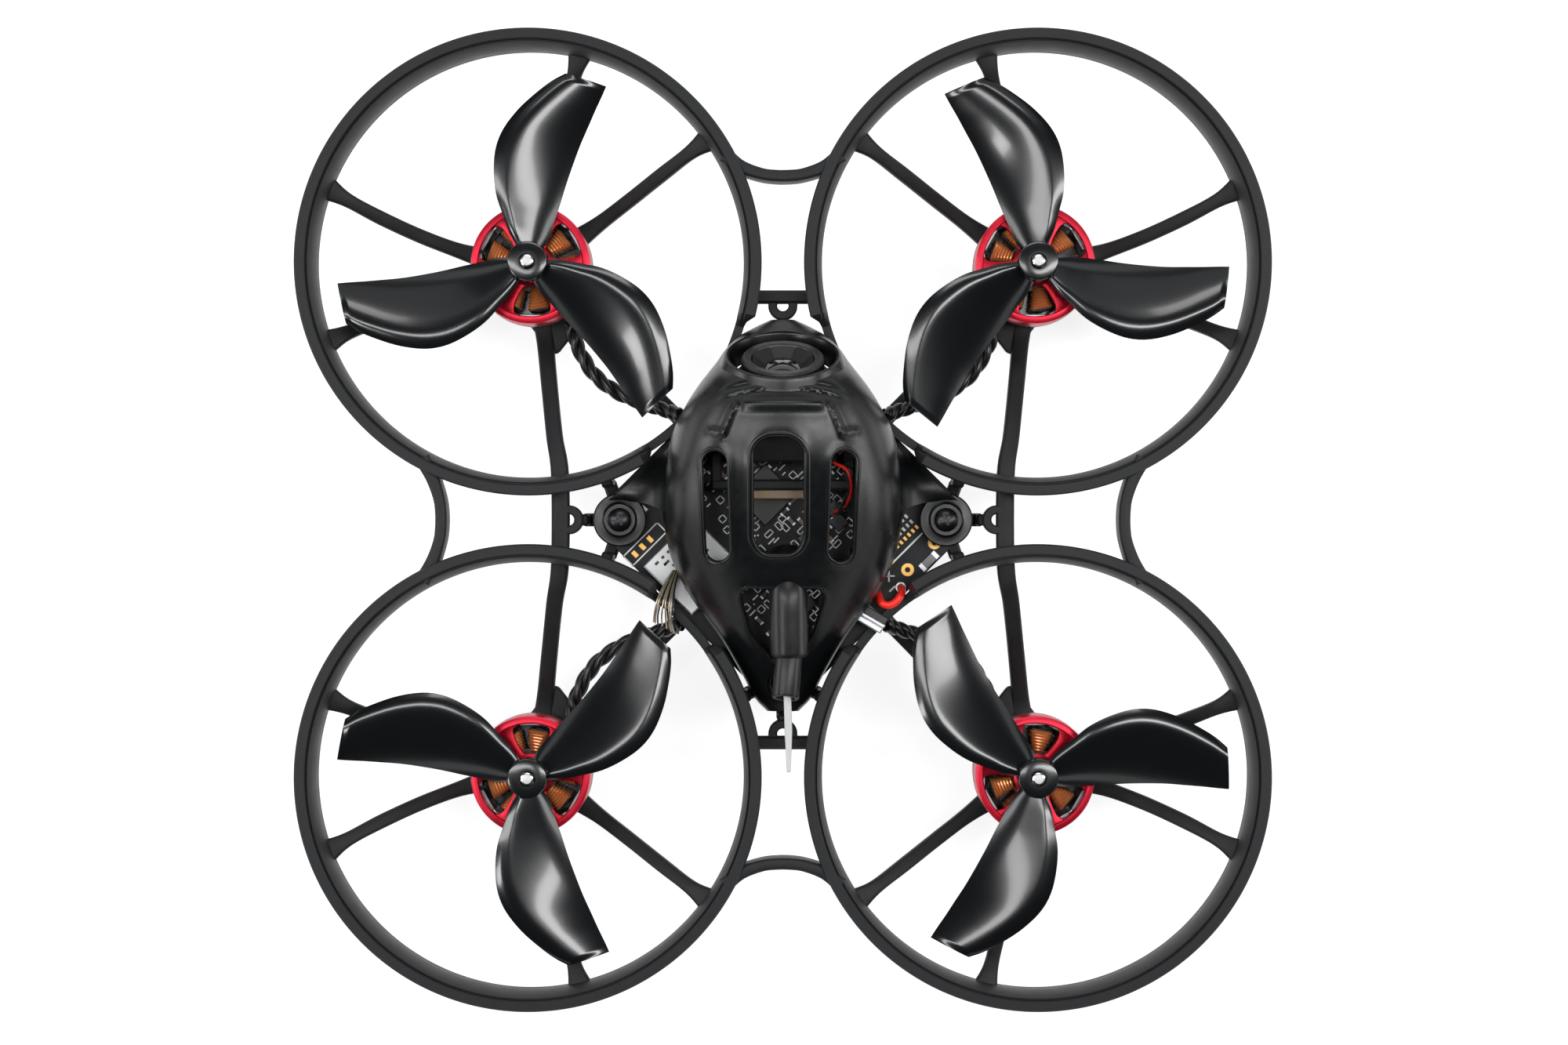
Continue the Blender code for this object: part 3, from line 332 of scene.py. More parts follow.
def smooth_path(points, count):
    """The same for points, as vectors."""
    return [Vector(point) for point in smooth(points, count)]


def rounded_rectangle(width, height, radius, steps=3):
    """The outline of a rectangle around the origin, with rounded corners."""
    radius = min(radius, width * 0.49, height * 0.49)
    made = []
    for x, y, first in ((1, 1, 0), (-1, 1, 90), (-1, -1, 180), (1, -1, 270)):
        for step in range(steps + 1):
            angle = math.radians(first + 90 * step / steps)
            made.append((x * (width / 2 - radius) + radius * math.cos(angle),
                         y * (height / 2 - radius) + radius * math.sin(angle)))
    return made


def inset(outline, distance):
    """An outline moved inwards, or outwards by a negative distance."""
    area = sum(a[0] * b[1] - b[0] * a[1] for a, b in zip(outline, outline[1:] + outline[:1]))
    sign = distance if area > 0 else -distance
    made = []
    for i, point in enumerate(outline):
        before = Vector(outline[i - 1])
        after = Vector(outline[(i + 1) % len(outline)])
        along = after - before
        side = Vector((-along.y, along.x)).normalized() * sign
        made.append((point[0] + side.x, point[1] + side.y))
    return made


def polar(centre, radius, degrees):
    """The point at a radius and an angle around a centre."""
    angle = math.radians(degrees)
    return centre[0] + radius * math.cos(angle), centre[1] + radius * math.sin(angle)


def rounded_outline(corners, radius, steps=5):
    """An outline with each corner rounded by an arc."""
    made = []
    for i, corner in enumerate(corners):
        corner = Vector(corner)
        back = (Vector(corners[i - 1]) - corner).normalized()
        ahead = (Vector(corners[(i + 1) % len(corners)]) - corner).normalized()
        half = back.angle(ahead) / 2
        centre = corner + (back + ahead).normalized() * radius / math.sin(half)
        start = corner + back * radius / math.tan(half) - centre
        sweep = start.angle_signed(corner + ahead * radius / math.tan(half) - centre)
        for step in range(steps + 1):
            point = centre + Matrix.Rotation(-sweep * step / steps, 2) @ start
            made.append((point.x, point.y))
    return made


def slot_outline(points, half_width, steps=12):
    """The outline of a slot with round ends along a straight line between two points."""
    a, b = Vector(points[0]), Vector(points[1])
    aim = math.degrees(math.atan2(b.y - a.y, b.x - a.x))
    made = []
    for end, first in ((b, aim - 90), (a, aim + 90)):
        made += [polar(end, half_width, first + 180 * step / steps) for step in range(steps + 1)]
    return made


def mirrored(path, x_side, y_side):
    """A path moved to another quarter of the airframe."""
    return [(x_side * point[0], y_side * point[1], *point[2:]) for point in path]


def both_ways(path, x_side, y_side):
    """A path on one side of a mirror line, followed by its reflection."""
    return mirrored(path[::-1], x_side, y_side) + list(path)


# ---- the moulded frame ---------------------------------------------------------------
DUCT_PROFILE = ((25.9, 22.2), (26.02, 22.08), (26.05, 21.9), (26.05, 20.95), (25.9, 20.72),
                (25.1, 20.2), (25.0, 20.0), (25.0, 16.2), (24.85, 16.0), (24.15, 16.0),
                (24.0, 16.2), (24.0, 18.6), (24.06, 19.6), (24.2, 20.5), (24.4, 21.3),
                (24.58, 21.8), (24.63, 21.78), (24.68, 21.5), (24.78, 21.5), (24.83, 22.08), (24.95, 22.2))
SPOKES = ((20.6, 12.0), (103.2, 100.0), (144.8, 144.0), (-20.8, -16.0))
SPOKE_RADII = (4.8, 9.0, 13.5, 18.0, 22.0, 24.6)
SPOKE_HEIGHTS = (9.1, 9.4, 11.2, 14.0, 16.2, 16.9)


def duct(shape, x_side, y_side):
    """A ring duct with a rolled lip, lowered where the canopy or the board overhangs it."""
    centre = Vector((x_side * MOTOR_X, y_side * MOTOR_Y, 0.0))
    dip_angle, dip_width = DIPS[y_side]
    steps = 240
    rows = []
    for step in range(steps):
        angle = 2 * math.pi * step / steps
        own = math.degrees(math.atan2(y_side * math.sin(angle), x_side * math.cos(angle)))
        apart = (own - dip_angle + 180) % 360 - 180
        reach = abs(math.radians(apart)) * WALL_R - dip_width / 2
        share = min(max(reach / 0.5 + 0.5, 0.0), 1.0) if abs(apart) < 90 else 1.0
        low = 1 - share * share * (3 - 2 * share)
        row = []
        for radius, height in DUCT_PROFILE:
            if height > DIP_TOP:
                height += low * (DIP_TOP + 0.02 * (height - DIP_TOP) - height)
                radius += low * (min(max(radius, BORE_R), WALL_R) - radius)
            row.append(centre + Vector((radius * math.cos(angle), radius * math.sin(angle), height)))
        rows.append(row)
    shape.grid(rows, NYLON, around=True, closed=True)


def spoke_path(tip_angle, root_angle):
    """The rise of a spoke from the motor plate to the duct's lower edge."""
    path = []
    for radius, height in zip(SPOKE_RADII, SPOKE_HEIGHTS):
        share = (radius - SPOKE_RADII[0]) / (SPOKE_RADII[-1] - SPOKE_RADII[0])
        spot = polar((MOTOR_X, MOTOR_Y), radius, root_angle + (tip_angle - root_angle) * share)
        path.append((*spot, height))
    return path


def post(shape, origin, aim, reach, width, levels):
    """An upright wall that runs away from a point, between two distances and two heights."""
    (start, end), (bottom, top) = reach, levels
    spot = Vector(origin) + aim * (start + end) / 2
    shape.block((*spot, (bottom + top) / 2), (end - start, width, top - bottom), NYLON, 0.25,
                math.atan2(aim.y, aim.x))


def web(shape, boss, centre):
    """An upright web between a mounting boss and the nearest duct."""
    aim = Vector(centre) - Vector(boss)
    reach = aim.length - (WALL_R + BORE_R) / 2
    aim.normalize()
    post(shape, boss, aim, (2.0, 4.6), 1.5, (9.05, 11.7))
    post(shape, boss, aim, (3.95, reach), 1.3, (9.2, 17.2))


def frame_corner(shape, x_side, y_side):
    """One duct with its motor plate, spokes, inner arm and webs."""
    motor = (x_side * MOTOR_X, y_side * MOTOR_Y)
    duct(shape, x_side, y_side)
    shape.lathe(((1.6, 9.75), (1.75, 9.9), (6.4, 9.9), (6.6, 9.7), (6.6, 8.5), (6.4, 8.3),
                 (1.75, 8.3), (1.6, 8.45)), (*motor, 0.0), NYLON)
    gusset = [polar((MOTOR_X, MOTOR_Y), radius, angle)
              for radius, angle in ((5.6, 205), (9.4, 221), (8.6, 240), (10.4, 258), (5.6, 285))]
    shape.plate(rounded_outline(mirrored(gusset, x_side, y_side), 0.8), 8.4, 9.8, NYLON, 0.2)
    for tip, root in SPOKES:
        shape.bar(mirrored(spoke_path(tip, root), x_side, y_side),
                  (2.7, 1.75, 1.6, 1.6, 1.62, 2.8), 1.6, NYLON, 0.35, 26)
    arm = ((24.4, 24.3, 9.1), (20.5, 20.2, 9.2), (16.0, 15.7, 9.5), (11.9, 11.6, 9.7), (8.4, 8.2, 9.7))
    shape.bar(mirrored(arm, x_side, y_side), (2.8, 1.9, 1.75, 1.75, 2.6), 1.3, NYLON, 0.35, 26)
    web(shape, (x_side * MOUNT_R, 0.0), motor)
    web(shape, (0.0, y_side * MOUNT_R), motor)


def frame_middle(shape):
    """Bosses, lacing eyes, side bars, ties and the battery tray."""
    for x, y in MOUNTS.values():
        shape.lathe(washer(1.0, 3.0, 8.9, 11.8), (x, y, 0.0), NYLON, 48)
        out = Vector((x, y)).normalized()
        post(shape, (0.0, 0.0), out, (20.3, 22.8), 1.5, (9.1, 11.6))
        post(shape, (0.0, 0.0), out, (21.95, 23.4), 1.3, (9.3, 15.9))
        shape.lathe(washer(0.65, 1.65, 14.7, 16.7), (*(out * LUG_R), 0.0), NYLON, 40)
    bar = ((25.2, 4.9, 15.6), (25.9, 9.5, 14.4), (26.7, 15.5, 11.4), (27.3, 20.5, 9.15), (27.7, 24.6, 8.9))
    end_tie = ((0.9, 38.37, 19.6), (2.5, 38.6, 19.6), (4.7, 39.4, 19.6), (6.5, 40.7, 19.6))
    side_tie = ((38.12, 0.9, 19.6), (38.35, 2.5, 19.6), (39.1, 4.7, 19.6), (40.2, 6.9, 19.6))
    bar_widths, tie_widths = (2.0, 1.85, 1.85, 2.0, 2.8), (1.3, 1.3, 1.45, 1.8)
    for side in (-1, 1):
        shape.bar(mirrored(both_ways(bar, 1, -1), side, 1), bar_widths[::-1] + bar_widths, 1.9,
                  NYLON, 0.4, 60)
        shape.bar(mirrored(both_ways(side_tie, 1, -1), side, 1), tie_widths[::-1] + tie_widths,
                  4.4, NYLON, 0.35, 40)
        shape.bar(mirrored(both_ways(end_tie, -1, 1), 1, side), tie_widths[::-1] + tie_widths,
                  4.4, NYLON, 0.35, 40)
        shape.block((0.0, side * (LUG_R + 0.95), 16.15), (8.4, 1.5, 1.6), NYLON, 0.3)
        for z_low, z_high, y_low, y_high in ((0.3, 2.7, -10.0, 10.0), (7.1, 10.2, -10.0, 10.0),
                                             (2.4, 7.4, 4.3, 10.0), (2.4, 7.4, -10.0, -4.3)):
            shape.block((side * 9.5, (y_low + y_high) / 2, (z_low + z_high) / 2),
                        (1.2, y_high - y_low, z_high - z_low), NYLON, 0.2)
        shape.block((0.0, side * 7.4, 0.6), (20.0, 4.8, 1.2), NYLON, 0.2)


def frame_deck(shape):
    """The deck between the bosses, as bars around its four windows and lead slot."""
    reach = MOUNT_R + 1.2
    rim = ((reach, 0.0), (0.0, reach), (-reach, 0.0), (0.0, -reach))
    lines = [((-7.6, 7.6), (6.4, 19.58)), ((-7.6, 7.6), (-12.7, -6.4)), ((-1.2, 1.2), (-6.4, 6.4)),
             ((-7.6, 7.6), (-1.2, 1.2)), ((7.6, 19.58), (-19.58, 19.58)),
             ((-19.58, -7.6), (-19.58, 19.58)), ((-7.6, -3.2), (-19.58, -12.7)),
             ((3.2, 7.6), (-19.58, -12.7)), ((-3.2, 3.2), (-19.58, -15.1))]
    for (x_low, x_high), (y_low, y_high) in lines:
        outline = clipped(((x_low, y_low), (x_high, y_low), (x_high, y_high), (x_low, y_high)), rim)
        shape.add([(x, y, z) for z in (9.0, 10.4) for x, y in outline],
                  prism_faces(len(outline)), NYLON)


def prism_faces(count):
    """The faces between a lower and an upper outline, and both ends."""
    sides = [(i, (i + 1) % count, count + (i + 1) % count, count + i) for i in range(count)]
    return sides + [range(count), range(count, 2 * count)]


def clipped(outline, clip):
    """The part of a convex outline that lies inside another, both anticlockwise."""
    made = [Vector(point) for point in outline]
    for i, start in enumerate(clip):
        start, end = Vector(start), Vector(clip[(i + 1) % len(clip)])
        edge = end - start
        kept = []
        for k, point in enumerate(made):
            before = made[k - 1]
            here = edge.x * (point.y - start.y) - edge.y * (point.x - start.x)
            there = edge.x * (before.y - start.y) - edge.y * (before.x - start.x)
            if here * there < 0:
                kept.append(before.lerp(point, there / (there - here)))
            if here >= 0:
                kept.append(point)
        made = kept
    return [tuple(point) for point in made]


def make_frame():
    """The one-piece airframe."""
    shape = Shape()
    for x_side, y_side in CORNERS.values():
        frame_corner(shape, x_side, y_side)
    frame_middle(shape)
    frame_deck(shape)
    shape.make("airframe_moulding", ["frame"], "moulded_nylon_black")


# ---- propellers and motors --------------------------------------------------------------
LEADING_EDGE = ((-1.0, 1.3), (-1.95, 3.4), (-2.55, 5.3), (-3.2, 7.6), (-3.35, 10.2), (-3.05, 12.7),
                (-2.1, 14.9), (-0.3, 17.1), (1.8, 18.9), (3.5, 20.1), (5.0, 20.85))
TRAILING_EDGE = ((1.3, 0.9), (2.3, 2.6), (2.95, 4.4), (3.7, 6.4), (4.5, 8.7), (5.4, 11.0),
                 (6.3, 13.1), (7.3, 15.1), (8.1, 16.7), (8.9, 18.2), (9.45, 19.3))
BLADE_HEIGHT = 20.9
ROOT_PITCH, TIP_PITCH = 34.0, 12.0
ROOT_THICKNESS, TIP_THICKNESS = 0.72, 0.42
BLADES, BELL_SPOKES, POLES, TURNS, MAGNETS = 3, 6, 9, 7, 12


def blade(shape, centre, spin, turn, stations=44, columns=22):
    """One swept blade with a cambered section, a firm leading edge and a cut tip."""
    lead = smooth_path([(x, y, 0.0) for x, y in LEADING_EDGE], stations)
    trail = smooth_path([(x, y, 0.0) for x, y in TRAILING_EDGE], stations)
    rows = []
    for i, (front, back) in enumerate(zip(lead, trail)):
        share = i / (stations - 1)
        pitch = math.radians(ROOT_PITCH + (TIP_PITCH - ROOT_PITCH) * share)
        chord = (front - back).length
        thick = ROOT_THICKNESS + (TIP_THICKNESS - ROOT_THICKNESS) * share
        thick *= 1.0 if share < 0.97 else 0.6
        upper, lower = [], []
        for j in range(columns + 1):
            across = j / columns
            point = front.lerp(back, across)
            camber = chord * (0.05 * math.sin(math.pi * across) - 0.85 * max(0.27 - across, 0.0) ** 2)
            point.z = BLADE_HEIGHT + chord * math.sin(pitch) * (0.5 - across) + camber
            half = thick / 2 * (1 - abs(2 * across - 1) ** 3) + 0.06
            upper.append(point + UP * half)
            lower.append(point - UP * half)
        rows.append(upper + lower[::-1])
    place = Matrix.Translation(centre) @ Matrix.Rotation(turn, 4, "Z") @ Matrix.Diagonal((spin, 1, 1, 1))
    shape.grid([[place @ point for point in row] for row in rows], PROP, around=True)


def make_propeller(name, centre):
    """Three blades and a hub with a small chamfer."""
    x_side, y_side = CORNERS[name]
    spin = -x_side * y_side
    shape = Shape()
    shape.lathe(((0.82, 22.9), (0.92, 23.0), (1.95, 23.0), (2.12, 22.94), (2.2, 22.78), (2.2, 18.7),
                 (2.05, 18.5), (0.82, 18.5)), centre, PROP, 48)
    for i in range(BLADES):
        blade(shape, centre, spin, math.radians(BLADE_ANGLES[name] + 360 / BLADES * i))
    shape.make(f"propeller_{name}", [f"prop_{name}"], "propeller_polycarbonate_black", f"rotor_{name}", 32.0)


def make_bell(name, centre):
    """The rotor can: chamfered rim, six spokes, hub and dark lower band."""
    shape = Shape()
    shape.lathe(((5.97, 18.2), (6.45, 18.2), (6.62, 18.12), (6.7, 17.95), (6.72, 12.75), (6.4, 12.75),
                 (6.4, 16.9), (6.0, 17.05), (5.86, 17.3), (5.86, 18.08)), centre, RED, 96)
    shape.lathe(((6.75, 12.72), (6.75, 11.9), (6.68, 11.8), (6.42, 11.8), (6.42, 12.72)), centre,
                DARK_METAL, 96)
    # hub and spokes take the darker copy of the bell's red: painted shade
    shape.lathe(((1.05, 18.1), (1.15, 18.2), (2.3, 18.2), (2.5, 18.05), (2.5, 17.0), (1.05, 17.0)),
                centre, RED_PAINTED_SHADE, 48)
    for i in range(BELL_SPOKES):
        angle = 360 / BELL_SPOKES * i + BLADE_ANGLES[name]
        path = [(*polar(centre, radius, angle), 17.58) for radius in (2.0, 3.0, 4.4, 5.3, 6.1)]
        shape.bar(path, (1.7, 1.0, 0.95, 1.35, 3.0), 1.0, RED_PAINTED_SHADE, 0.12, 14)
    shape.make(f"rotor_bell_{name}", [f"bell_{name}"], "anodised_aluminium_red", f"rotor_{name}")


def make_stator(name, centre):
    """Nine wound poles on a laminated core."""
    shape = Shape()
    shape.lathe(((2.9, 15.6), (2.9, 12.5), (2.0, 12.5), (2.0, 15.6)), centre, LAMINATION, 36)
    for i in range(POLES):
        turn = Matrix.Translation(centre) @ Matrix.Rotation(math.radians(360 / POLES * i), 4, "Z")
        for k in range(TURNS):
            radius = 2.75 + 0.34 * k
            half_width, half_height = 0.5 + 0.1 * k, 1.85
            loop = [turn @ Vector((radius, a, 14.35 + b))
                    for a, b in rounded_rectangle(2 * half_width, 2 * half_height, 0.45, 4)]
            shape.loop(loop, turn.to_3x3() @ Vector((1.0, 0.0, 0.0)), 0.19, COPPER, 8)
        shape.block((4.1, 0.0, 14.05), (2.4, 0.8, 2.6), LAMINATION, 0.1, place=turn)
        shape.block((5.02, 0.0, 14.05), (0.3, 2.2, 3.2), LAMINATION, 0.1, place=turn)
    shape.make(f"wound_stator_{name}", [f"stator_{name}"], "winding_copper")


def make_motor(name, centre):
    """The fixed base, shaft, magnets, rotor can and propeller of one corner."""
    flat = Vector((centre.x, centre.y, 0.0))
    base = Shape().lathe(((1.1, 16.3), (1.65, 16.3), (1.65, 11.5), (5.7, 11.4), (6.1, 11.05),
                          (6.1, 10.35), (5.95, 10.2), (1.1, 10.2)), flat, DARK_METAL, 64)
    base.make(f"base_plate_{name}", [f"motor_base_{name}"], "blackened_aluminium")
    make_stator(name, flat)
    magnets = Shape()
    for i in range(MAGNETS):
        turn = Matrix.Translation(flat) @ Matrix.Rotation(math.radians(360 / MAGNETS * i), 4, "Z")
        magnets.block((5.78, 0.0, 14.25), (0.5, 2.7, 4.2), MAGNET, 0.08, place=turn)
    magnets.make(f"magnets_{name}", [f"magnet_ring_{name}"], "magnet_nickel", f"rotor_{name}")
    make_bell(name, flat)
    shaft = Shape()
    shaft.lathe(((0.02, 23.4), (0.55, 23.4), (0.68, 23.34), (0.75, 23.2), (0.75, 10.6),
                 (0.65, 10.5), (0.02, 10.5)), flat, STEEL, 32)
    shaft.lathe(((0.02, 23.42), (0.5, 23.42), (0.56, 23.38), (0.02, 23.3)), flat, GROUND, 32)
    shaft.make(f"shaft_{name}", [f"motor_shaft_{name}"], "shaft_steel", f"rotor_{name}")
    make_propeller(name, flat)


LEAD_R, LEAD_SPREAD, LEAD_TWIST = 0.43, 0.46, 0.26


def make_motor_wires(name):
    """Three twisted leads from a motor to the board's corner."""
    x_side, y_side = CORNERS[name]
    route = ((24.2, 22.7, 10.8), (23.5, 19.9, 11.2), (21.6, 16.7, 11.6), (18.8, 14.5, 12.0),
             (15.6, 13.2, 12.4), (13.1, 12.4, 12.8), (11.7, 11.9, 13.4))
    path = smooth_path(mirrored(route, x_side, y_side), 80)
    shape = Shape()
    for lead in range(3):
        points = []
        for i, point in enumerate(path):
            ahead = (path[min(i + 1, len(path) - 1)] - path[max(i - 1, 0)]).normalized()
            side = ahead.cross(UP).normalized()
            angle = 2 * math.pi * lead / 3 + x_side * y_side * LEAD_TWIST * i
            lean = side * math.cos(angle) + side.cross(ahead) * math.sin(angle)
            points.append(point + lean * LEAD_SPREAD)
        shape.tube(points, LEAD_R, BLACK_LEAD, 12)
    shape.make(f"twisted_leads_{name}", [f"motor_wires_{name}"], "silicone_black")


# ---- canopy -----------------------------------------------------------------------------
DOME = ((22.5, 1.4, 18.3, 2.2), (21.6, 3.3, 19.6, 2.3), (20.6, 5.0, 21.4, 2.5),
        (19.2, 6.4, 24.0, 2.8), (17.7, 7.4, 26.9, 3.2), (16.4, 8.4, 29.5, 3.0),
        (15.0, 9.5, 31.0, 2.7), (13.0, 10.8, 31.9, 2.5), (10.0, 12.3, 32.15, 2.4),
        (6.5, 13.2, 31.8, 2.4), (3.0, 13.6, 30.8, 2.4), (-1.0, 13.3, 29.4, 2.4),
        (-5.0, 12.3, 27.4, 2.4), (-9.0, 10.2, 25.0, 2.4), (-13.0, 7.2, 22.6, 2.4),
        (-17.0, 4.8, 20.8, 2.4), (-20.0, 3.2, 19.6, 2.3), (-21.5, 1.8, 18.6, 2.2))
RIM_Z, SHELL = 17.3, 0.8
SNOUT_BORE_R, SNOUT_BACK = 6.1, 6.5              # the lens opening, from the camera's pivot
DOME_LINE = smooth(DOME, 171)
REAR_WINDOW = ((-5.0, -7.4), (5.0, -7.4), (3.4, -12.6), (1.4, -15.6), (-1.4, -15.6), (-3.6, -12.6))
OPENINGS = {"vent_middle": (rounded_outline(((-3.4, -3.85), (2.5, -3.85), (2.5, 9.25), (-3.4, 9.25)),
                                            2.3, 10), 0.42),
            "vent_left": (slot_outline(((-7.4, 6.2), (-7.1, -3.2)), 1.5), 0.34),
            "vent_right": (slot_outline(((6.6, 6.2), (6.3, -3.2)), 1.5), 0.34),
            "window": (rounded_outline(REAR_WINDOW, 1.0), 0.3)}


def dome_section(y):
    """Half width, crown height and squareness of the dome at a station."""
    for (y1, *ahead), (y2, *behind) in zip(DOME_LINE, DOME_LINE[1:]):
        if y2 <= y <= y1:
            share = (y1 - y) / (y1 - y2)
            return [a + (b - a) * share for a, b in zip(ahead, behind)]
    return DOME_LINE[0][1:] if y > 0 else DOME_LINE[-1][1:]


def dome_height(x, y):
    """The height of the dome's outer skin above a point."""
    half, crown, power = dome_section(y)
    share = min(abs(x) / half, 1.0)
    return RIM_Z + (crown - RIM_Z) * (1 - share ** power) ** (1 / power)


def ridge(x, y, start, end, width):
    """How close a point is to a line, from 0 to 1, with soft sides."""
    start, end, point = Vector(start), Vector(end), Vector((x, y))
    along = end - start
    share = min(max((point - start).dot(along) / along.length_squared, 0.0), 1.0)
    apart = (point - start - along * share).length
    return math.exp(-(apart / width) ** 2)


def smooth_step(value, low, high):
    """0 below the low value, 1 above the high one, and eased between."""
    share = min(max((value - low) / (high - low), 0.0), 1.0)
    return share * share * (3 - 2 * share)


def rim_distance(x, y):
    """How far a point is from the nearest opening's edge."""
    nearest = 9.0
    for outline, _ in OPENINGS.values():
        if abs(x - outline[0][0]) > 12.0:
            continue
        for i, (x1, y1) in enumerate(outline):
            x2, y2 = outline[i - 1]
            dx, dy = x2 - x1, y2 - y1
            share = min(max(((x - x1) * dx + (y - y1) * dy) / (dx * dx + dy * dy), 0.0), 1.0)
            apart = (x - x1 - share * dx) ** 2 + (y - y1 - share * dy) ** 2
            nearest = min(nearest, apart)
    return math.sqrt(nearest)


def relief(x, y):
    """Moulded features of the skin: rims, brow grooves, a step and two hooked ridges."""
    lift = 0.13 * math.exp(-(rim_distance(x, y) / 0.5) ** 2) if -17 < y < 10.5 and abs(x) < 10 else 0.0
    bow = 0.022 * x * x
    broad = 1 / (1 + math.exp((abs(x) - 6.2) / 0.4))
    inside = 1 / (1 + math.exp((abs(x) - 4.5) / 0.2))
    lift -= 0.26 * math.exp(-((y - 15.0 + bow) / 0.28) ** 2) * broad
    lift -= 0.3 * math.exp(-((y - 14.1 + bow) / 0.26) ** 2) * broad
    lift += 0.42 / (1 + math.exp((y - 13.1 + 0.3 * bow) / 0.12)) * inside * smooth_step(y, 11.4, 12.9)
    for side in (-1, 1):
        lift += 0.5 * ridge(side * x, y, (5.3, 12.2), (6.5, 9.5), 0.36)
        lift += 0.42 * ridge(side * x, y, (6.7, 9.4), (8.0, 9.6), 0.36)
    return lift


def dome_grid(columns=150):
    """The dome's skin as rows of points."""
    rows = []
    for y, half, crown, power in DOME_LINE:
        row = []
        for step in range(columns + 1):
            angle = math.pi * step / columns
            cosine, sine = math.cos(angle), math.sin(angle)
            x = half * math.copysign(abs(cosine) ** (2 / power), cosine)
            z = RIM_Z + (crown - RIM_Z) * abs(sine) ** (2 / power)
            row.append(Vector((x, y, z + relief(x, y) * smooth_step(z, 23.0, 25.0))))
        rows.append(row)
    return rows


def solid(name, shape):
    """A construction solid for the canopy's openings."""
    made = shape.make(name)
    made.hide_render = True
    made.hide_viewport = True
    return made


def prism(name, outline, bottom, top):
    """An upright cutter of the given outline."""
    shape = Shape()
    shape.add([(x, y, z) for z in (bottom, top) for x, y in outline], prism_faces(len(outline)),
              CANOPY)
    return solid(name, shape)


def apply_modifiers(target, sharp):
    """Put the modifiers' result in the piece's own mesh."""
    bpy.context.view_layer.update()
    ready = target.evaluated_get(bpy.context.evaluated_depsgraph_get())
    mesh = bpy.data.meshes.new_from_object(ready)
    target.modifiers.clear()
    target.data = mesh
    mesh.shade_smooth()
    mesh.set_sharp_from_angle(angle=math.radians(sharp))


def cut(target, cutters, sharp):
    """Cut the solids out of a piece, and clear them away."""
    group = bpy.data.collections.new("cutters")
    for cutter in cutters:
        group.objects.link(cutter)
    step = target.modifiers.new("cut", "BOOLEAN")
    step.operand_type = "COLLECTION"
    step.collection = group
    step.solver = "EXACT"
    apply_modifiers(target, sharp)
    for cutter in cutters:
        bpy.data.objects.remove(cutter, do_unlink=True)
    bpy.data.collections.remove(group)


def thicken(target, thickness):
    """Give an open skin a wall on its inner side."""
    step = target.modifiers.new("wall", "SOLIDIFY")
    step.thickness = thickness * MM
    step.offset = -1.0
    apply_modifiers(target, 38.0)


def skin_point(x, y, sink=0.0):
    """A point on the dome, or a little below it."""
    return Vector((x, y, dome_height(x, y) - sink))


def vent_rims(shape):
    """Rounded beads around the vents and the rear window."""
    for outline, bead in OPENINGS.values():
        points = [skin_point(x, y) for x, y in inset(outline, -0.35 * bead)]
        dense = []
        for i, point in enumerate(points):
            after = points[(i + 1) % len(points)]
            parts = max(int((after - point).length / 0.5), 1)
            for k in range(parts):
                spot = point.lerp(after, k / parts)
                dense.append(skin_point(spot.x, spot.y, bead * 0.6))
        shape.loop(dense, UP, bead, CANOPY, 10)


def wings(shape):
    """The two shoulders that slope from the dome down to the side ears."""
    wing = (((12.1, 0.3, 23.6), (11.7, 5.4, 23.8), (10.7, 10.1, 22.6)),
            ((12.9, 0.8, 21.6), (12.5, 5.0, 21.9), (11.7, 9.2, 21.0)),
            ((14.0, 1.3, 19.8), (13.7, 4.3, 20.1), (13.3, 7.6, 19.5)),
            ((15.4, 1.8, 18.6), (15.3, 3.6, 18.8), (15.5, 5.5, 18.5)),
            ((17.4, 2.1, 17.35), (18.5, 2.3, 17.35), (19.7, 2.2, 17.3)))
    for side in (-1, 1):
        rows = []
        for row in smooth([[value for point in row for value in point] for row in wing], 24):
            points = [row[0:3], row[3:6], row[6:9]]
            rows.append([(side * x, y, z) for x, y, z in smooth(points, 14)])
        upper = [[Vector(point) + UP * 0.25 for point in row] for row in rows]
        lower = [[Vector(point) - UP * 0.45 for point in row[::-1]] for row in rows]
        shape.grid([a + b for a, b in zip(upper, lower)], CANOPY, around=True)


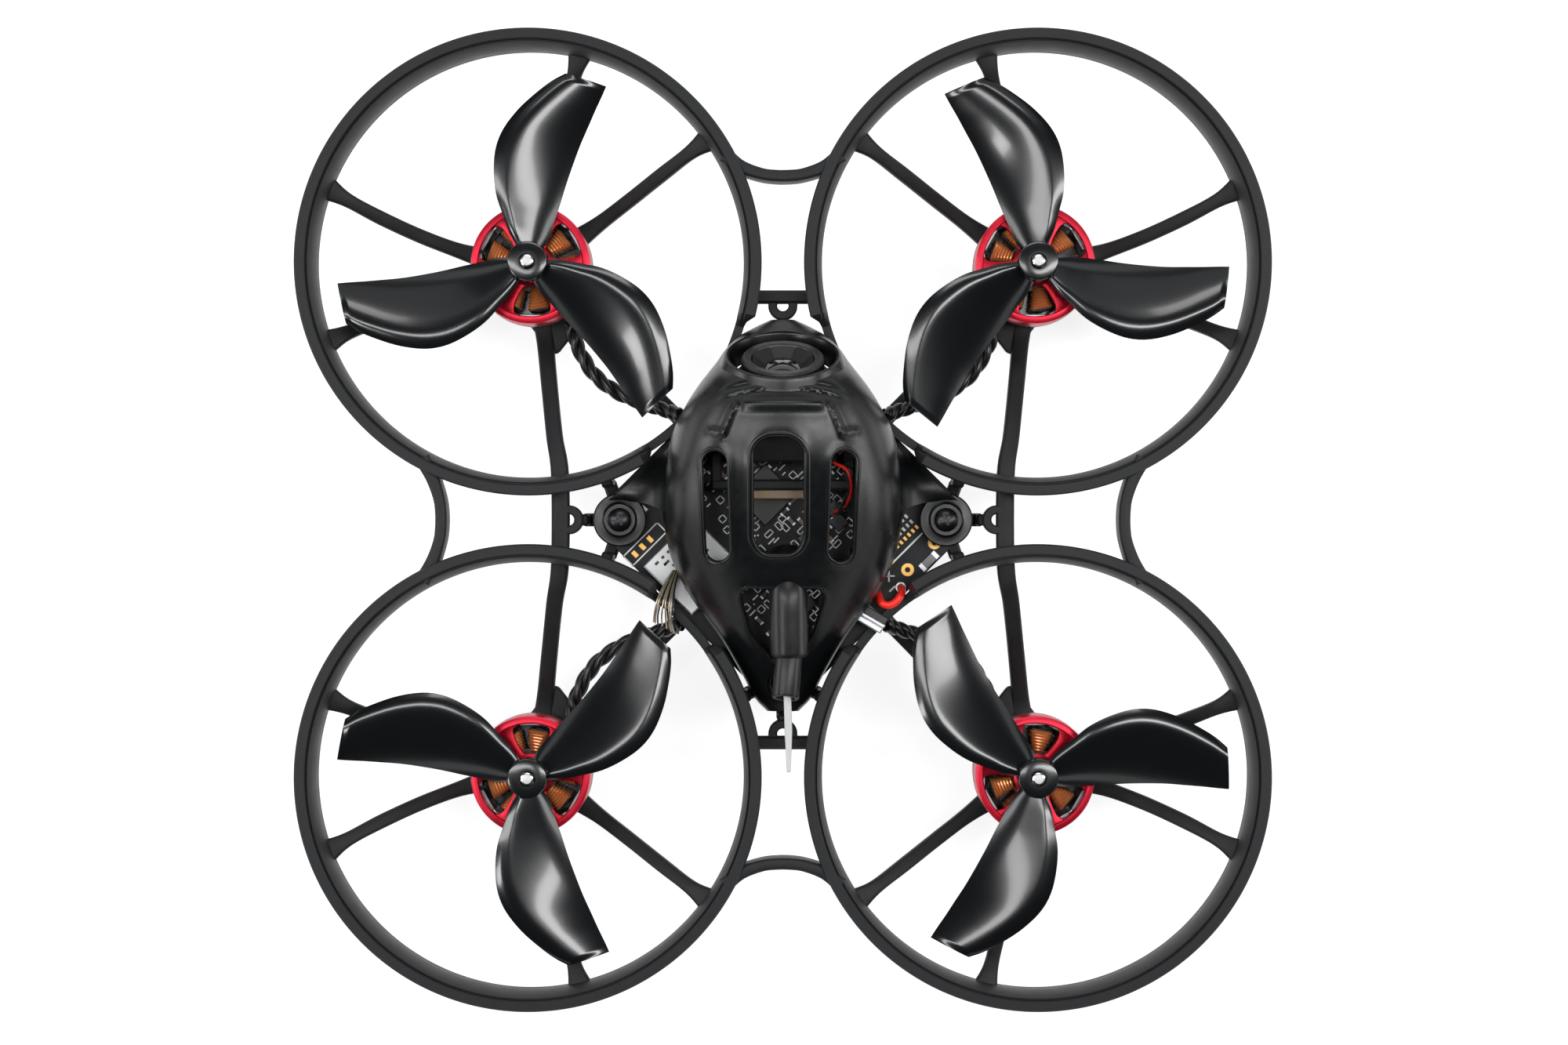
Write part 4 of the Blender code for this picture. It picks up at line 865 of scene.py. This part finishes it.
def make_canopy():
    """The dome with its openings, snout, ears, shoulders and rims."""
    skin = Shape()
    skin.grid(dome_grid(), CANOPY)
    dome = skin.make("canopy_dome", ["canopy"], "canopy_polypropylene_black")
    thicken(dome, SHELL)
    cutters = [prism(name, outline, 17.8, 40.0) for name, (outline, _) in OPENINGS.items()]
    bore = Shape().lathe(rod(SNOUT_BORE_R, -2.4, 6.0), CAMERA_PIVOT + LENS_AXIS * SNOUT_BACK, CANOPY,
                         64, LENS_AXIS)
    cutters.append(solid("snout_bore", bore))
    notch = Shape().block((9.75, -10.75, 17.8), (4.6, 3.4, 1.9), CANOPY, 0.1, SOCKET_TURN)
    cutters.append(solid("notch", notch))
    for name in ("front", "rear"):
        x, y = MOUNTS[name]
        space = Shape().lathe(rod(1.75, 17.5, 30.0), (x, y, 0.0), CANOPY)
        cutters.append(solid(f"head_space_{name}", space))
    cut(dome, cutters, 40.0)

    trim = Shape()
    vent_rims(trim)
    trim.lathe(((5.9, 8.1), (6.0, 8.26), (6.2, 8.32), (6.42, 8.22), (6.58, 7.9), (6.78, 7.3),
                (7.15, 6.5), (7.7, 5.7), (8.3, 5.1), (7.7, 4.7), (6.9, 5.2), (5.9, 5.4)),
               CAMERA_PIVOT, CANOPY, 96, LENS_AXIS)
    for x, y in MOUNTS.values():
        trim.lathe(((1.0, 17.3), (1.15, 17.35), (1.35, 17.62), (1.75, 17.62), (1.9, 17.45), (2.1, 17.4),
                    (2.85, 17.4), (3.0, 17.25), (3.0, 16.65), (2.85, 16.5), (1.0, 16.5)),
                   (x, y, 0.0), CANOPY, 64)
    wings(trim)
    for outline in (((2.4, -16.1), (-2.4, -16.1), (-2.7, -19.4), (-1.3, -21.1), (1.3, -21.1), (2.7, -19.4)),
                    ((-3.3, 16.6), (3.3, 16.6), (2.9, 19.8), (1.4, 21.2), (-1.4, 21.2), (-2.9, 19.8))):
        trim.plate(rounded_outline(outline, 0.6), 16.72, 17.38, CANOPY, 0.15)
    trim.make("canopy_trim", slot="canopy_polypropylene_black")


# ---- camera --------------------------------------------------------------------------------
def make_camera():
    """Camera block, bezel with faceted hood, glass and cradle."""
    tilt = Matrix.Translation(CAMERA_PIVOT) @ Matrix.Rotation(CAMERA_TILT, 4, "X")
    body = Shape()
    body.block((0.0, 0.0, 0.0), (11.9, 4.4, 11.9), PACKAGE, 0.5, place=tilt)
    body.block((0.0, -2.0, 3.0), (7.0, 0.6, 2.0), SILVER, 0.1, place=tilt)
    body.make("camera_block", ["camera_body"], "plug_nylon_black", "camera")
    ring = Shape()
    ring.lathe(((3.55, 7.9), (3.7, 8.0), (4.4, 8.0), (4.6, 7.75), (4.6, 5.9), (3.9, 5.3), (3.7, 5.0),
                (3.7, 2.6), (0.05, 2.6), (0.05, 5.4), (2.9, 6.2)), CAMERA_PIVOT, BEZEL, 96, LENS_AXIS)
    aim = LENS_AXIS.to_track_quat("Z", "Y").to_matrix().to_4x4()
    place = Matrix.Translation(CAMERA_PIVOT) @ aim
    outer = [polar((0, 0), 3.62, 45 * i + 22.5) for i in range(8)]
    inner = [polar((0, 0), 2.2, 45 * i + 22.5) for i in range(8)]
    facets = [[place @ Vector((x, y, z)) for x, y in line]
              for line, z in ((outer, 7.8), (inner, 6.75), (inner, 6.35), (outer, 6.35))]
    ring.grid(facets, BAFFLE, around=True, closed=True)
    ring.make("lens_bezel_ring", ["camera_lens_ring"], "blackened_aluminium", "camera", 25.0)
    glass = Shape().lathe(((0.02, 7.6), (0.7, 7.54), (1.4, 7.34), (2.0, 6.98), (2.3, 6.65),
                           (2.3, 6.45), (0.02, 6.2)), CAMERA_PIVOT, COATING, 64, LENS_AXIS)
    glass.make("front_element", ["camera_glass"], "lens_glass", "camera", 60.0)
    cradle = Shape()
    y, z = CAMERA_PIVOT.y, CAMERA_PIVOT.z
    cradle.block((0.0, 3.9, z - 1.4), (16.0, 1.2, 3.4), NYLON, 0.25)
    for side in (-1, 1):
        cradle.lathe(((0.8, 0.6), (2.25, 0.6), (2.4, 0.45), (2.4, -0.45), (2.25, -0.6), (0.8, -0.6)),
                     (side * 7.4, y, z), NYLON, 48, (1.0, 0.0, 0.0))
        cradle.block((side * 7.4, (y + 3.5) / 2, z - 0.9), (1.2, y - 3.3, 2.2), NYLON, 0.2)
        end = "left" if side < 0 else "right"
        screw = Shape().lathe(((0.25, 3.35), (0.35, 3.6), (0.9, 3.6), (1.1, 3.4), (1.1, 3.0),
                               (0.5, 3.0), (0.5, 0.0), (0.02, 0.0), (0.02, 3.2)),
                              (side * 5.3, y, z), SCREW, 32, (side, 0.0, 0.0))
        screw.make(f"tilt_screw_{end}", [f"camera_screw_{end}"], "screw_black_oxide")
    cradle.block((-0.4, 2.85, z - 1.3), (6.8, 1.0, 0.3), TAPE, 0.08)
    cradle.make("camera_cradle", ["camera_bracket"], "moulded_nylon_black")
    lead = Shape()
    route = smooth_path(((5.2, 7.4, 20.2), (5.7, 6.3, 23.4), (7.3, 5.5, 24.9), (7.6, 3.8, 24.4),
                         (7.0, 2.0, 21.4), (6.3, 1.0, 17.8), (5.9, 0.8, 15.5)), 60)
    for start, finish in ((0.0, RED_LEAD), (math.pi, BLACK_LEAD)):
        strand = [point + Vector((math.cos(start + 0.16 * step), 0.4 * math.sin(start + 0.16 * step),
                                  0.0)) * 0.2 for step, point in enumerate(route)]
        lead.tube(strand, 0.19, finish, 10)
    lead.make("camera_lead", ["camera_cable"], "silicone_red")


# ---- electronics ---------------------------------------------------------------------------
DIAGONAL = Matrix.Rotation(math.pi / 4, 4, "Z")
PRINT = 0.02                                     # thickness of the printed marks
SCATTER_TRIES, SCATTER_GAP = 1400, 1.0


def line_mark(shape, start, end, width):
    """A thin printed line on the board, in the board's own directions."""
    a, b = Vector(start), Vector(end)
    centre = (a + b) / 2
    turn = math.atan2(b.y - a.y, b.x - a.x)
    shape.block((*centre, BOARD_TOP + PRINT / 2), ((b - a).length + width, width, PRINT), SILK,
                0.005, turn, DIAGONAL)


def outline_mark(shape, centre, size, width):
    """A printed rectangle."""
    x, y = size[0] / 2, size[1] / 2
    corners = [Vector(centre) + Vector(c) for c in ((-x, -y), (x, -y), (x, y), (-x, y))]
    for a, b in zip(corners, corners[1:] + corners[:1]):
        line_mark(shape, a, b, width)


def chip(shape, u, v, size, turn, finish):
    """A small part with bright solder at its two ends."""
    length, width, height = size
    for end in (-1, 1):
        offset = Matrix.Rotation(turn, 2) @ Vector((end * length / 2, 0.0))
        shape.block((u + offset.x, v + offset.y, BOARD_TOP + height * 0.4),
                    (length * 0.35, width * 1.05, height * 0.8), SILVER, 0.05, turn, DIAGONAL)
    shape.block((u, v, BOARD_TOP + height / 2), (length * 0.8, width, height), finish, 0.04, turn,
                DIAGONAL)


def make_board():
    """The flight controller with its pads, print and small parts."""
    shape = Shape()
    square = rounded_outline([tuple(2 * BOARD_HALF * Vector(c) - Vector((BOARD_HALF, BOARD_HALF)))
                              for c in ((0, 0), (1, 0), (1, 1), (0, 1))], 2.7)
    board = Shape()
    board.plate(square, BOARD_BOTTOM, BOARD_TOP, MASK, 0.06, DIAGONAL)
    made = board.make("controller_board", ["flight_controller_board"], "solder_mask_black")
    holes = []
    for name, (x, y) in MOUNTS.items():
        hole = Shape().lathe(rod(1.8, 13.0, 16.0), (x, y, 0.0), MASK, 48)
        holes.append(solid(f"board_hole_{name}", hole))
    slot = Shape().block(LEAD_SLOT + UP * 14.3, (2.6, 4.4, 3.0), MASK, 0.3)
    holes.append(solid("board_slot", slot))
    cut(made, holes, 35.0)

    # right-hand edge: three rows of small pads, a printed corner, plated holes and a cross
    for row in range(3):
        for i in range(9):
            u, v = 5.2 + 0.62 * i, -9.6 - 0.85 * row
            shape.block((u, v, BOARD_TOP + 0.02), (0.3, 0.48, 0.04), GOLD if row == 2 else SILK,
                        0.01, 0.0, DIAGONAL)
    line_mark(shape, (4.7, -12.25), (10.6, -12.25), 0.2)
    line_mark(shape, (4.7, -12.25), (4.7, -11.5), 0.2)
    for u, v in ((6.0, -14.0), (10.3, -14.0), (-12.4, 13.2)):
        x, y, _ = DIAGONAL @ Vector((u, v, 0.0))
        shape.lathe(((0.32, BOARD_TOP + 0.05), (0.72, BOARD_TOP + 0.05), (0.76, BOARD_TOP),
                     (0.3, BOARD_TOP)), (x, y, 0.0), GOLD, 40)
    chip(shape, 8.4, -15.0, (1.9, 0.95, 0.6), 0.0, GREY)
    line_mark(shape, (3.6, -12.6), (4.4, -13.4), 0.18)
    line_mark(shape, (4.4, -12.6), (3.6, -13.4), 0.18)
    line_mark(shape, (2.9, -14.3), (3.6, -14.3), 0.2)

    # left-hand edge: a printed frame around three pads
    outline_mark(shape, (-13.0, 9.1), (5.4, 1.5), 0.16)
    for i in range(3):
        shape.block((-14.6 + 1.2 * i, 9.1, BOARD_TOP + 0.02), (0.5, 0.8, 0.04), GOLD, 0.01, 0.0,
                    DIAGONAL)
    chip(shape, -11.0, 12.0, (1.6, 0.8, 0.7), 0.0, CERAMIC)

    # small parts and printed marks scattered over the rest, clear of the shield, pads and slot
    scatter, taken = random.Random(11), []
    for _ in range(SCATTER_TRIES):
        u, v = scatter.uniform(-10.0, 12.0), scatter.uniform(-12.0, 12.0)
        crowded = any(abs(u - a) + abs(v - b) < SCATTER_GAP for a, b in taken)
        outside = abs(u) + abs(v) > 19 or (u < -5.5 and -1.5 < v < 8.5) or (u > 4 and v < -8.5)
        if crowded or outside or (DIAGONAL @ Vector((u, v, 0.0)) - LEAD_SLOT).length < 3.4:
            continue
        taken.append((u, v))
        turn = scatter.choice((0.0, math.pi / 2))
        kind = scatter.random()
        if kind < 0.25:
            chip(shape, u, v, (0.9, 0.45, 0.35), turn, scatter.choice((CERAMIC, PACKAGE)))
        elif kind < 0.7:
            outline_mark(shape, (u, v), scatter.choice(((0.95, 0.5), (0.55, 0.9), (0.7, 0.7))), 0.13)
        elif kind < 0.95:
            line_mark(shape, (u, v), (u + scatter.uniform(-0.9, 0.9), v), 0.17)
        else:
            shape.block((u, v, BOARD_TOP + 0.25), (1.6, 1.6, 0.5), PACKAGE, 0.06, turn, DIAGONAL)
    shape.block((0.6, 3.4, BOARD_TOP + 0.4), (5.0, 5.0, 0.8), PACKAGE, 0.1, 0.0, DIAGONAL)
    shape.make("board_details", slot="solder_mask_black")


def make_receiver():
    """Shield can with its label, and the fan of fine strands."""
    can = Shape()
    can.block((SHIELD_U, SHIELD_V, 15.62), (8.0, 7.8, 1.02), SILVER, 0.15, 0.0, DIAGONAL)
    can.block((SHIELD_U, SHIELD_V, 16.14), (7.6, 7.4, 0.08), LABEL, 0.03, 0.0, DIAGONAL)
    marks = random.Random(4)
    for row in range(5):
        for _ in range(4):
            u = -13.9 + 5.6 * marks.random()
            can.block((u, 6.6 - 0.75 * row, 16.185), (0.3 + 0.5 * marks.random(), 0.3, 0.02),
                      PACKAGE, 0.005, 0.0, DIAGONAL)
    can.make("receiver_can", ["receiver_shield"], "shield_white")
    strands = Shape()
    for i in range(9):
        share = i / 8
        sway = 0.14 * math.sin(5.0 * i)
        path = ((-11.75 - 0.6 * share, -5.7, 16.6), (-12.1 - 1.0 * share, -7.3 + 0.4 * share, 17.42),
                (-12.3 - 1.7 * share, -9.4 + 0.7 * share, 18.3),
                (-12.1 - 2.4 * share + sway, -11.5 + 1.2 * share, 17.9),
                (-11.8 - 2.9 * share + sway, -12.85 + 1.45 * share - abs(sway), 16.3))
        strands.tube(smooth_path(path, 30), 0.1, TINNED if i % 3 else DARK_METAL, 8)
    strands.make("receiver_strands", ["receiver_wires"], "tinned_wire")


def make_socket():
    """Plated socket over the duct's dip, with its dark insert."""
    shell = Shape()
    place = Matrix.Translation(SOCKET) @ Matrix.Rotation(SOCKET_TURN, 4, "Z")
    for centre, size, finish, edge in (((0.0, 0.55, 0.0), (3.1, 0.85, 1.1), PLUG, 0.1),
                                       ((0.0, -0.05, 0.25), (3.3, 0.42, 0.68), SILVER, 0.1),
                                       ((0.0, -0.62, 0.0), (3.2, 0.74, 1.15), SILVER, 0.15),
                                       ((0.0, -0.3, -0.2), (2.9, 1.2, 0.7), PLUG, 0.1)):
        shell.block(centre, size, finish, edge, place=place)
    shell.block((9.6, -10.15, 16.35), (2.2, 1.4, 2.5), PLUG, 0.15, -math.pi / 4)
    shell.make("edge_socket", ["usb_socket"], "connector_nickel")


def make_leads():
    """Battery leads, their plug, and the button under the board."""
    red = ((13.35, -7.65, 15.35), (13.45, -8.0, 16.7), (13.2, -8.6, 17.85), (12.6, -9.3, 18.0),
           (11.8, -9.6, 18.0), (11.1, -9.35, 17.9), (10.85, -8.7, 17.0), (10.6, -8.0, 16.1),
           (10.1, -7.3, 15.8), (9.3, -6.5, 15.5), (9.0, -6.4, 14.3), (8.6, -6.9, 12.8),
           (5.0, -10.0, 11.9), (2.3, -13.2, 11.2), (2.0, -14.0, 9.7), (2.0, -14.3, 7.9),
           (2.0, -13.8, 6.2), (2.0, -12.4, 5.6))
    black = ((8.9, -2.6, 15.6), (8.9, -3.5, 15.9), (8.8, -4.2, 15.4), (8.8, -4.4, 14.3),
             (8.0, -5.2, 12.8), (3.2, -10.2, 11.9), (-1.2, -13.0, 11.5), (-2.0, -14.0, 9.7),
             (-2.0, -14.3, 7.9), (-2.0, -13.8, 6.2), (-2.0, -12.4, 5.6))
    for name, route, finish in (("red", red, RED_LEAD), ("black", black, BLACK_LEAD)):
        lead = Shape().tube(smooth_path(route, 150), 0.44, finish, 16)
        lead.tube([Vector(route[0]) + UP * 0.1, Vector(route[0]) - UP * 0.5], 0.6, SILVER, 16)
        lead.make(f"battery_lead_{name}", [f"power_lead_{name}"], f"silicone_{name}")
    plug = Shape()
    plug.block((0.0, -10.75, 5.6), (7.6, 4.5, 4.6), PLUG, 0.4)
    plug.block((0.0, -8.5, 5.6), (6.6, 0.55, 3.6), PLUG, 0.2)
    for side in (-1, 1):
        plug.lathe(((0.6, 0.3), (0.9, 0.3), (0.9, -0.6), (0.6, -0.6)), (side * 2.0, -8.5, 5.6),
                   GOLD, 24, (0.0, 1.0, 0.0))
    plug.make("battery_plug", ["power_plug"], "plug_nylon_black")
    housing = Shape()
    housing.lathe(((0.95, 12.4), (1.35, 12.3), (1.4, 12.4), (1.4, 13.5), (0.02, 13.5),
                   (0.02, 13.12), (0.95, 13.12)), BUTTON, PLUG, 40)
    for side in (-1, 1):
        housing.block(BUTTON + Vector((side * 1.4, 0.0, 12.95)), (0.6, 2.6, 1.0), SILVER, 0.1)
    housing.make("tact_switch", ["button_housing"], "plug_nylon_black")
    button = Shape().lathe(((0.02, 11.7), (0.5, 11.7), (0.65, 11.85), (0.65, 12.8), (0.02, 12.8)),
                           BUTTON, GREY, 32)
    button.make("bind_button_cap", ["bind_button"], "button_plastic", "bind_button")


GROMMET = ((1.0, 15.95), (1.15, 16.1), (2.5, 16.1), (2.7, 15.9), (2.7, 15.3), (2.5, 15.1),
           (1.6, 15.1), (1.5, 14.9), (1.5, 13.7), (1.6, 13.5), (2.5, 13.5), (2.7, 13.3),
           (2.7, 12.3), (2.5, 12.1), (1.15, 12.1), (1.0, 12.25))
CAP_SCREW = ((0.02, 18.75), (0.5, 18.74), (0.95, 18.62), (1.22, 18.42), (1.33, 18.15),
             (1.35, 17.85), (1.3, 17.8), (0.7, 17.75), (0.7, 9.7), (0.6, 9.6), (0.02, 9.6))


def make_fasteners():
    """Grommets and cross-headed screws at the four mounting points."""
    for name, (x, y) in MOUNTS.items():
        grommet = Shape().lathe(GROMMET, (x, y, 0.0), RUBBER, 48)
        grommet.make(f"grommet_{name}", [f"damper_{name}"], "rubber_black")
        screw = Shape().lathe(CAP_SCREW, (x, y, 0.0), SCREW, 40)
        made = screw.make(f"cap_screw_{name}", [f"mount_screw_{name}"], "screw_black_oxide")
        slots = []
        for i in range(2):
            slot = Shape().block((x, y, 18.7), (1.35, 0.26, 0.9), SCREW, 0.02, math.pi / 2 * i + 0.4)
            slots.append(solid(f"cross_{name}_{i}", slot))
        cut(made, slots, 30.0)


def make_antenna():
    """Rubber sleeve with a shrunk tube, and the thin white element."""
    root, shoulder = Vector((0.6, -8.2, 24.6)), Vector((0.7, -14.6, 24.2))
    end = Vector((0.3, -19.5, 25.6))
    shape = Shape()
    boot = smooth_path(((0.5, -4.0, 21.9), (0.55, -6.0, 23.4), root, (0.65, -11.5, 24.5), shoulder,
                        shoulder + (shoulder - root).normalized() * 0.9), 60)
    swell = [2.12 * math.sqrt(max(1 - (max(i - 47, 0) / 12.2) ** 2, 0.01)) for i in range(60)]
    shape.tube(boot, swell, RUBBER, 48)
    aim = (end - shoulder).normalized()
    shape.lathe(((0.95, 5.1), (1.1, 5.3), (1.4, 5.3), (1.5, 5.15), (1.5, -1.2), (0.02, -1.2),
                 (0.02, 2.75), (0.95, 2.75)), shoulder, RUBBER, 48, aim)
    shape.make("antenna_boot", ["antenna_sleeve"], "rubber_black", sharp=45.0)
    start = shoulder + aim * 3.4
    tip = Vector((0.65, -27.6, 28.1))
    line = smooth_path((start, start.lerp(tip, 0.5) + Vector((0.06, 0.0, -0.08)), tip), 24)
    element = Shape().tube(line, [0.42 if i < 14 else 0.42 - 0.02 * (i - 13) for i in range(24)], WHITE, 16)
    element.make("antenna_wire", ["antenna_element"], "antenna_white")


# ---- stage ---------------------------------------------------------------------------------
VIEW_HEIGHT = 403.0                              # the camera above the floor
HUB_PLANE, VIEW_WIDTH = 23.0, 174.0              # the height where the picture is that wide
SENSOR = 36.0
FLOOR_GLOW, WORLD_LIGHT = 0.78, 0.03
FLOOR_SWEEP = ((700.0, -0.02), (1500.0, -0.02), (1750.0, 40.0), (1920.0, 180.0),
               (1990.0, 300.0), (2000.0, 560.0))             # radius, height
# name, place, size and power; every lamp faces the origin
LIGHTS = (("brow", (0.0, 290.0, 410.0), (240.0, 80.0), 0.4),
          ("strip_left", (-195.0, 30.0, 370.0), (50.0, 380.0), 0.7),
          ("strip_right", (205.0, 30.0, 370.0), (50.0, 380.0), 1.0),
          ("side_left", (-450.0, 20.0, 90.0), (300.0, 120.0), 0.5),
          ("side_right", (450.0, 20.0, 90.0), (300.0, 120.0), 0.5),
          ("low_left", (-250.0, -95.0, 325.0), (55.0, 90.0), 0.26),
          ("wide_front", (0.0, 420.0, 330.0), (500.0, 300.0), 0.28))


def make_floor():
    """A pale glowing floor with an upturned rim."""
    steps = 64
    points = [(*[value * MM for value in polar((0, 0), radius, 360 * i / steps)], height * MM)
              for radius, height in FLOOR_SWEEP for i in range(steps)]
    faces = [range(steps)] + [(row * steps + i, (row + 1) * steps + i,
                               (row + 1) * steps + (i + 1) % steps, row * steps + (i + 1) % steps)
                              for row in range(len(FLOOR_SWEEP) - 1) for i in range(steps)]
    mesh = bpy.data.meshes.new("floor")
    mesh.from_pydata(points, [], faces)
    mesh.shade_smooth()
    pale = surface("pale_floor", (0.42, 0.42, 0.42), 0.7, grain=4.0, mottle=0.01, relief=0.0)
    shader = pale.node_tree.nodes["Principled BSDF"]
    shader.inputs["Emission Color"].default_value = (1, 1, 1, 1)
    shader.inputs["Emission Strength"].default_value = FLOOR_GLOW
    mesh.materials.append(pale)
    floor = bpy.data.objects.new("floor", mesh)
    bpy.context.scene.collection.objects.link(floor)


def make_lights():
    """A dim white world and soft lamps that the camera doesn't see."""
    world = bpy.data.worlds.new("studio")
    world.use_nodes = True
    background = world.node_tree.nodes["Background"]
    background.inputs["Color"].default_value = (1.0, 1.0, 1.0, 1.0)
    background.inputs["Strength"].default_value = WORLD_LIGHT
    bpy.context.scene.world = world
    for name, place, (length, width), power in LIGHTS:
        light = bpy.data.lights.new(name, "AREA")
        light.shape = "RECTANGLE"
        light.size, light.size_y = length * MM, width * MM
        light.energy = power
        lamp = bpy.data.objects.new(name, light)
        lamp.location = Vector(place) * MM
        lamp.visible_camera = False
        lamp.rotation_euler = (-Vector(place)).to_track_quat("-Z", "Y").to_euler()
        bpy.context.scene.collection.objects.link(lamp)


def make_view():
    """The camera, straight above."""
    lens = bpy.data.cameras.new("view")
    lens.sensor_width = SENSOR
    lens.lens = SENSOR * (VIEW_HEIGHT - HUB_PLANE) / VIEW_WIDTH
    lens.clip_start = 0.01
    eye = bpy.data.objects.new("view", lens)
    eye.location = Vector((0.13, -0.3, VIEW_HEIGHT)) * MM
    bpy.context.scene.collection.objects.link(eye)
    bpy.context.scene.camera = eye
    bpy.context.scene.view_settings.view_transform = "Standard"


def main():
    """Dress the whole drone, and light it."""
    make_floor()
    make_lights()
    make_view()
    make_frame()
    for name, centre in MOTORS.items():
        make_motor(name, centre)
        make_motor_wires(name)
    make_canopy()
    make_camera()
    make_board()
    make_receiver()
    make_socket()
    make_leads()
    make_fasteners()
    make_antenna()


main()
